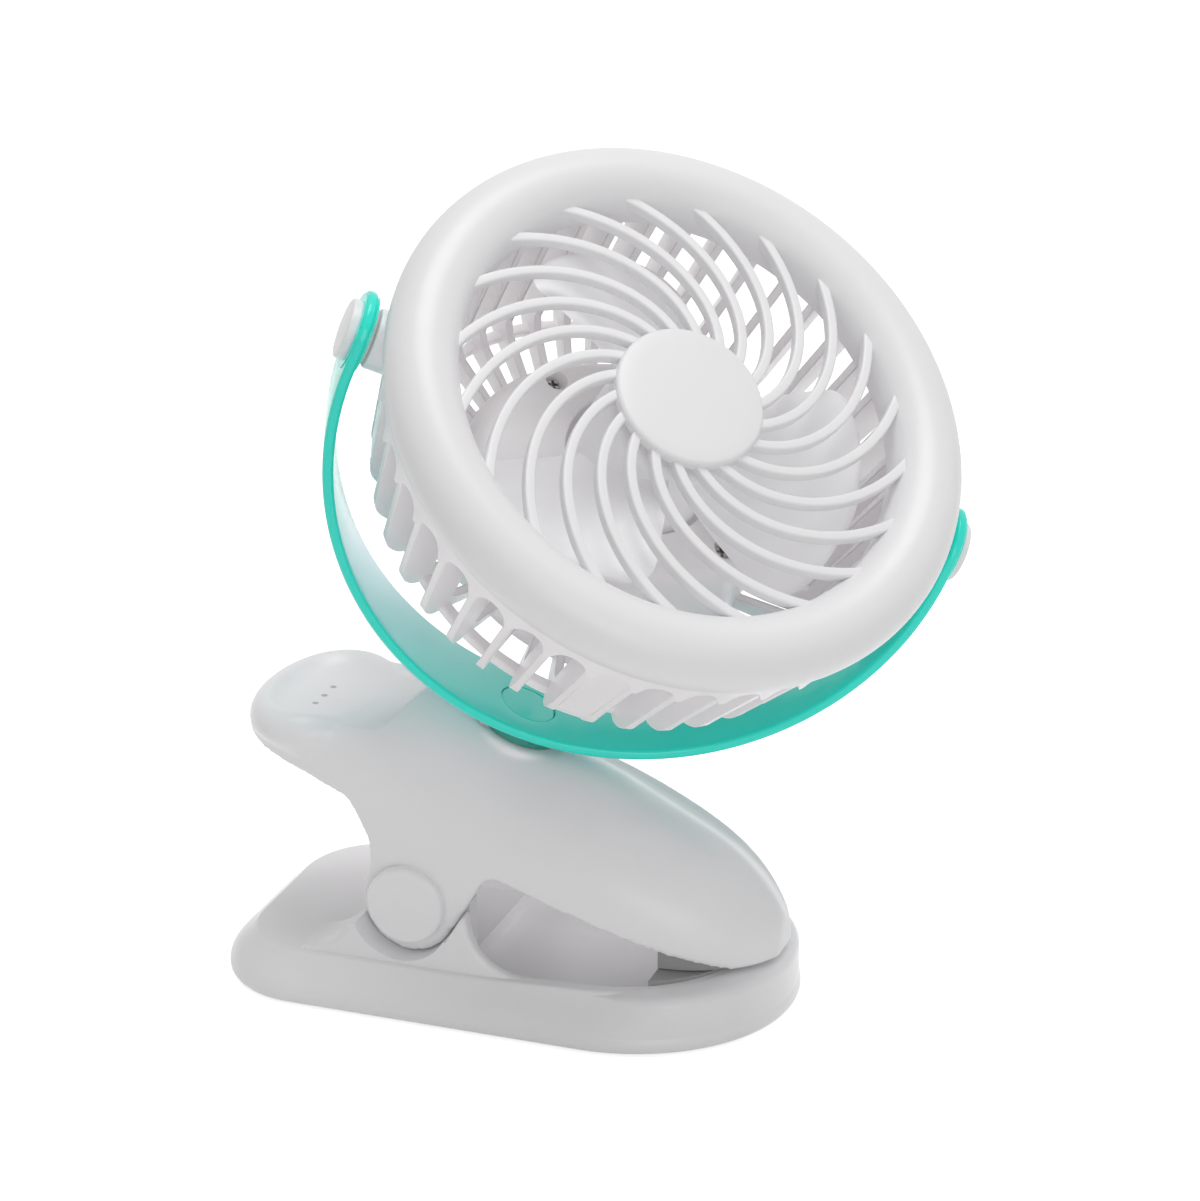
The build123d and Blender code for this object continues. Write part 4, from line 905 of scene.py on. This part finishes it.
def buildUpperJaw(size):
    solid = nodes["upper_jaw"]
    surface = BVHTree.FromObject(solid, bpy.context.evaluated_depsgraph_get())
    shell = Shell()
    skin = [tuple((solid.matrix_world @ corner.co) / mm) for corner in solid.data.vertices]
    shell.add(skin, [tuple(face.vertices) for face in solid.data.polygons])
    loops = [leverLoop(size, surface, 2 * math.pi * step / size["steps"]) for step in range(size["steps"])]
    shell.strip(loops, True, True)
    jaw = shell.piece("upperJaw", Matrix.Identity(4), "white_clip", "jaw")
    jaw.modifiers.clear()
    remesh = jaw.modifiers.new("voxels", "REMESH")
    remesh.mode = "VOXEL"
    remesh.voxel_size = size["voxel"]
    remesh.use_smooth_shade = True
    relax = jaw.modifiers.new("relax", "SMOOTH")
    relax.factor = size["relax"]
    relax.iterations = size["passes"]
    return jaw


def buildThumbDots(size, jaw, centre):
    bpy.context.view_layer.update()
    surface = BVHTree.FromObject(jaw, bpy.context.evaluated_depsgraph_get())
    shell = Shell()
    radius = size["radius"]
    profile = [(0.0, -size["sink"]), (radius, -size["sink"]), (radius, size["edgeZ"]),
               (radius - size["edgeIn"], size["topZ"]), (0.0, size["topZ"])]
    for step in (-1, 0, 1):
        x, y = centre[0], centre[1] + step * size["pitch"]
        lift = surface.ray_cast(Vector((x, y, size["castFrom"])) * mm, Vector((0, 0, -1)))[0].z / mm
        dot = Shell()
        dot.turned(profile, size["steps"])
        shell.add([(x + px, y + py, lift + pz) for px, py, pz in dot.points], dot.faces)
    # the dots are raised discs in a darker grey, painted shade for the dimples
    shell.piece("thumbDots", Matrix.Identity(4), "white_clip", "jaw", angle=40.0, finish=dotShadeFinish)


upperJaw = buildUpperJaw(lever)
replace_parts(upperJaw, "upper_jaw")
buildThumbDots(dots, upperJaw, lever["centre"])
print("upper jaw and thumb dots built")


# nose of the stand: its rim stands out over the flank, like a scoop
nose = {"centre": (29.7, 0.0), "reachX": 41.5, "reachY": 39.8, "castFrom": 70.0, "shy": 0.3, "wallIn": 0.08,
        "lowZ": 1.6, "bowZ": 5.6, "edgeZ": 12.2, "topZ": 14.4, "edgeWide": 1.2, "inner": 8.2,
        "innerLeast": 0.5, "innerDrop": 0.05, "fadeFrom": 0.02, "fadeTo": 0.55, "steps": 120, "levels": 16,
        "edgeSteps": 8}


def noseLoop(size, surface, angle):
    way = Vector((math.cos(angle), math.sin(angle), 0.0))
    plan = 1 / math.hypot(way.x / size["reachX"], way.y / size["reachY"])
    share = softStep(way.x, size["fadeFrom"], size["fadeTo"])
    loop = []
    for level in range(size["levels"] + 1):
        z = size["lowZ"] + (size["edgeZ"] - size["lowZ"]) * level / size["levels"]
        wall = min(plan, wallReach(size, surface, way, z)) - size["wallIn"]
        bow = softStep(z, size["lowZ"], size["bowZ"]) * share
        loop.append((wall + max(0.0, plan - size["shy"] - wall) * bow, z))
    reach, edgeZ = loop[-1]
    rise = size["topZ"] - edgeZ
    for step in range(1, size["edgeSteps"] + 1):
        turn = math.pi / 2 * step / size["edgeSteps"]
        inward = size["edgeWide"] * rise * (1 - math.cos(turn))
        loop.append((reach - inward, edgeZ + rise * math.sin(turn) * share))
    inner = min(plan - size["inner"], loop[-1][0] - size["innerLeast"])
    loop += [(inner, loop[-1][1] - size["innerDrop"]), (inner, size["lowZ"])]
    return [(size["centre"][0] + way.x * r, size["centre"][1] + way.y * r, z) for r, z in loop]


def buildNoseRim(size):
    surface = BVHTree.FromObject(nodes["base_shell"], bpy.context.evaluated_depsgraph_get())
    shell = Shell()
    angles = [math.pi * (step / size["steps"] - 0.5) for step in range(size["steps"] + 1)]
    shell.strip([noseLoop(size, surface, angle) for angle in angles], True, False)
    shell.piece("noseRim", Matrix.Identity(4), "white_clip", "base", angle=50.0, finish=baseFinish)


buildNoseRim(nose)
print("nose rim built")


# camera at the photograph's place
cameraSet = {"azimuth": 19.65, "elevation": 20.95, "distance": 0.920, "pixelsPerMm": 4.305,
             "target": (0.0355, 0.0, 0.1406), "targetPixel": (656.5, 441.8), "imageSize": (1200, 1201),
             "sensor": 36.0, "clip": (0.01, 50.0)}


def makeCamera(values):
    azimuth = math.radians(values["azimuth"])
    elevation = math.radians(values["elevation"])
    back = Vector((math.sin(azimuth) * math.cos(elevation), -math.cos(azimuth) * math.cos(elevation),
                   math.sin(elevation)))
    right = Vector((math.cos(azimuth), math.sin(azimuth), 0))
    up = back.cross(right)
    wide, high = values["imageSize"]
    offX = (values["targetPixel"][0] - wide / 2) / values["pixelsPerMm"] * mm
    offY = (high / 2 - values["targetPixel"][1]) / values["pixelsPerMm"] * mm
    data = bpy.data.cameras.new("photoCamera")
    data.sensor_fit = "VERTICAL"
    data.sensor_height = values["sensor"]
    data.sensor_width = values["sensor"]
    data.lens = values["sensor"] * values["pixelsPerMm"] * values["distance"] / mm / high
    data.clip_start, data.clip_end = values["clip"]
    camera = bpy.data.objects.new("photoCamera", data)
    place = Vector(values["target"]) - right * offX - up * offY + back * values["distance"]
    camera.matrix_world = frameMatrix(right, back, place)
    scene.collection.objects.link(camera)
    scene.camera = camera


makeCamera(cameraSet)
print("camera placed")


# plain studio: white ground, one broad key, two fills
studio = {"ambient": 0.44, "floorReach": 6.0, "floorTone": 0.86, "floorLift": 0.66}
lights = {
    "keyLight": {"place": (0.14, 0.06, 1.35), "aim": (0.03, 0, 0.12), "size": 0.9, "watts": 7.6},
    "sideLight": {"place": (-1.1, -0.5, 0.7), "aim": (0.0, 0, 0.1), "size": 0.9, "watts": 0.2},
    "frontLight": {"place": (0.72, -1.10, 0.34), "aim": (0.02, 0, 0.06), "size": 0.8, "watts": 2.6},
}


def seenRays(tree):
    # one where the camera looks, straight, by reflection or through a clear piece, else zero
    rays = tree.nodes.new("ShaderNodeLightPath")
    glossy = addMath(tree, "MAXIMUM")
    clear = addMath(tree, "MAXIMUM")
    tree.links.new(rays.outputs["Is Camera Ray"], glossy.inputs[0])
    tree.links.new(rays.outputs["Is Glossy Ray"], glossy.inputs[1])
    tree.links.new(glossy.outputs[0], clear.inputs[0])
    tree.links.new(rays.outputs["Is Transmission Ray"], clear.inputs[1])
    return clear.outputs[0]


def makeWorld(values):
    world = bpy.data.worlds.new("studioWorld")
    scene.world = world
    world.use_nodes = True
    tree = world.node_tree
    ambient = tree.nodes["Background"]
    seen = tree.nodes.new("ShaderNodeBackground")
    mix = tree.nodes.new("ShaderNodeMixShader")
    ambient.inputs["Color"].default_value = (1.0, 1.0, 1.0, 1)
    ambient.inputs["Strength"].default_value = values["ambient"]
    seen.inputs["Color"].default_value = (1.0, 1.0, 1.0, 1)
    seen.inputs["Strength"].default_value = 1.0
    tree.links.new(seenRays(tree), mix.inputs["Fac"])
    tree.links.new(ambient.outputs["Background"], mix.inputs[1])
    tree.links.new(seen.outputs["Background"], mix.inputs[2])
    tree.links.new(mix.outputs["Shader"], tree.nodes["World Output"].inputs["Surface"])


def makeFloor(values):
    mesh = bpy.data.meshes.new("studioFloor")
    side = values["floorReach"]
    corners = [(-side, -side, 0), (side, -side, 0), (side, side, 0), (-side, side, 0)]
    mesh.from_pydata(corners, [], [(0, 1, 2, 3)])
    floor = bpy.data.objects.new("studioFloor", mesh)
    scene.collection.objects.link(floor)
    material, tree, shader = startMaterial("paleFloor")
    shader.inputs["Base Color"].default_value = (values["floorTone"],) * 3 + (1,)
    shader.inputs["Roughness"].default_value = 0.9
    shader.inputs["Specular IOR Level"].default_value = 0.0
    lift = tree.nodes.new("ShaderNodeEmission")
    lift.inputs["Strength"].default_value = values["floorLift"]
    added = tree.nodes.new("ShaderNodeAddShader")
    mix = tree.nodes.new("ShaderNodeMixShader")
    tree.links.new(shader.outputs["BSDF"], added.inputs[0])
    tree.links.new(lift.outputs["Emission"], added.inputs[1])
    tree.links.new(seenRays(tree), mix.inputs["Fac"])
    tree.links.new(shader.outputs["BSDF"], mix.inputs[1])
    tree.links.new(added.outputs["Shader"], mix.inputs[2])
    tree.links.new(mix.outputs["Shader"], tree.nodes["Material Output"].inputs["Surface"])
    mesh.materials.append(material)


def softLight(name, place, aim, size, watts):
    data = bpy.data.lights.new(name, "AREA")
    data.shape = "DISK"
    data.size = size
    data.energy = watts
    light = bpy.data.objects.new(name, data)
    light.location = place
    light.rotation_mode = "QUATERNION"
    light.rotation_quaternion = (Vector(aim) - Vector(place)).to_track_quat("-Z", "Y")
    scene.collection.objects.link(light)


makeWorld(studio)
makeFloor(studio)
for lightName, values in lights.items():
    softLight(lightName, **values)
print("studio lit")
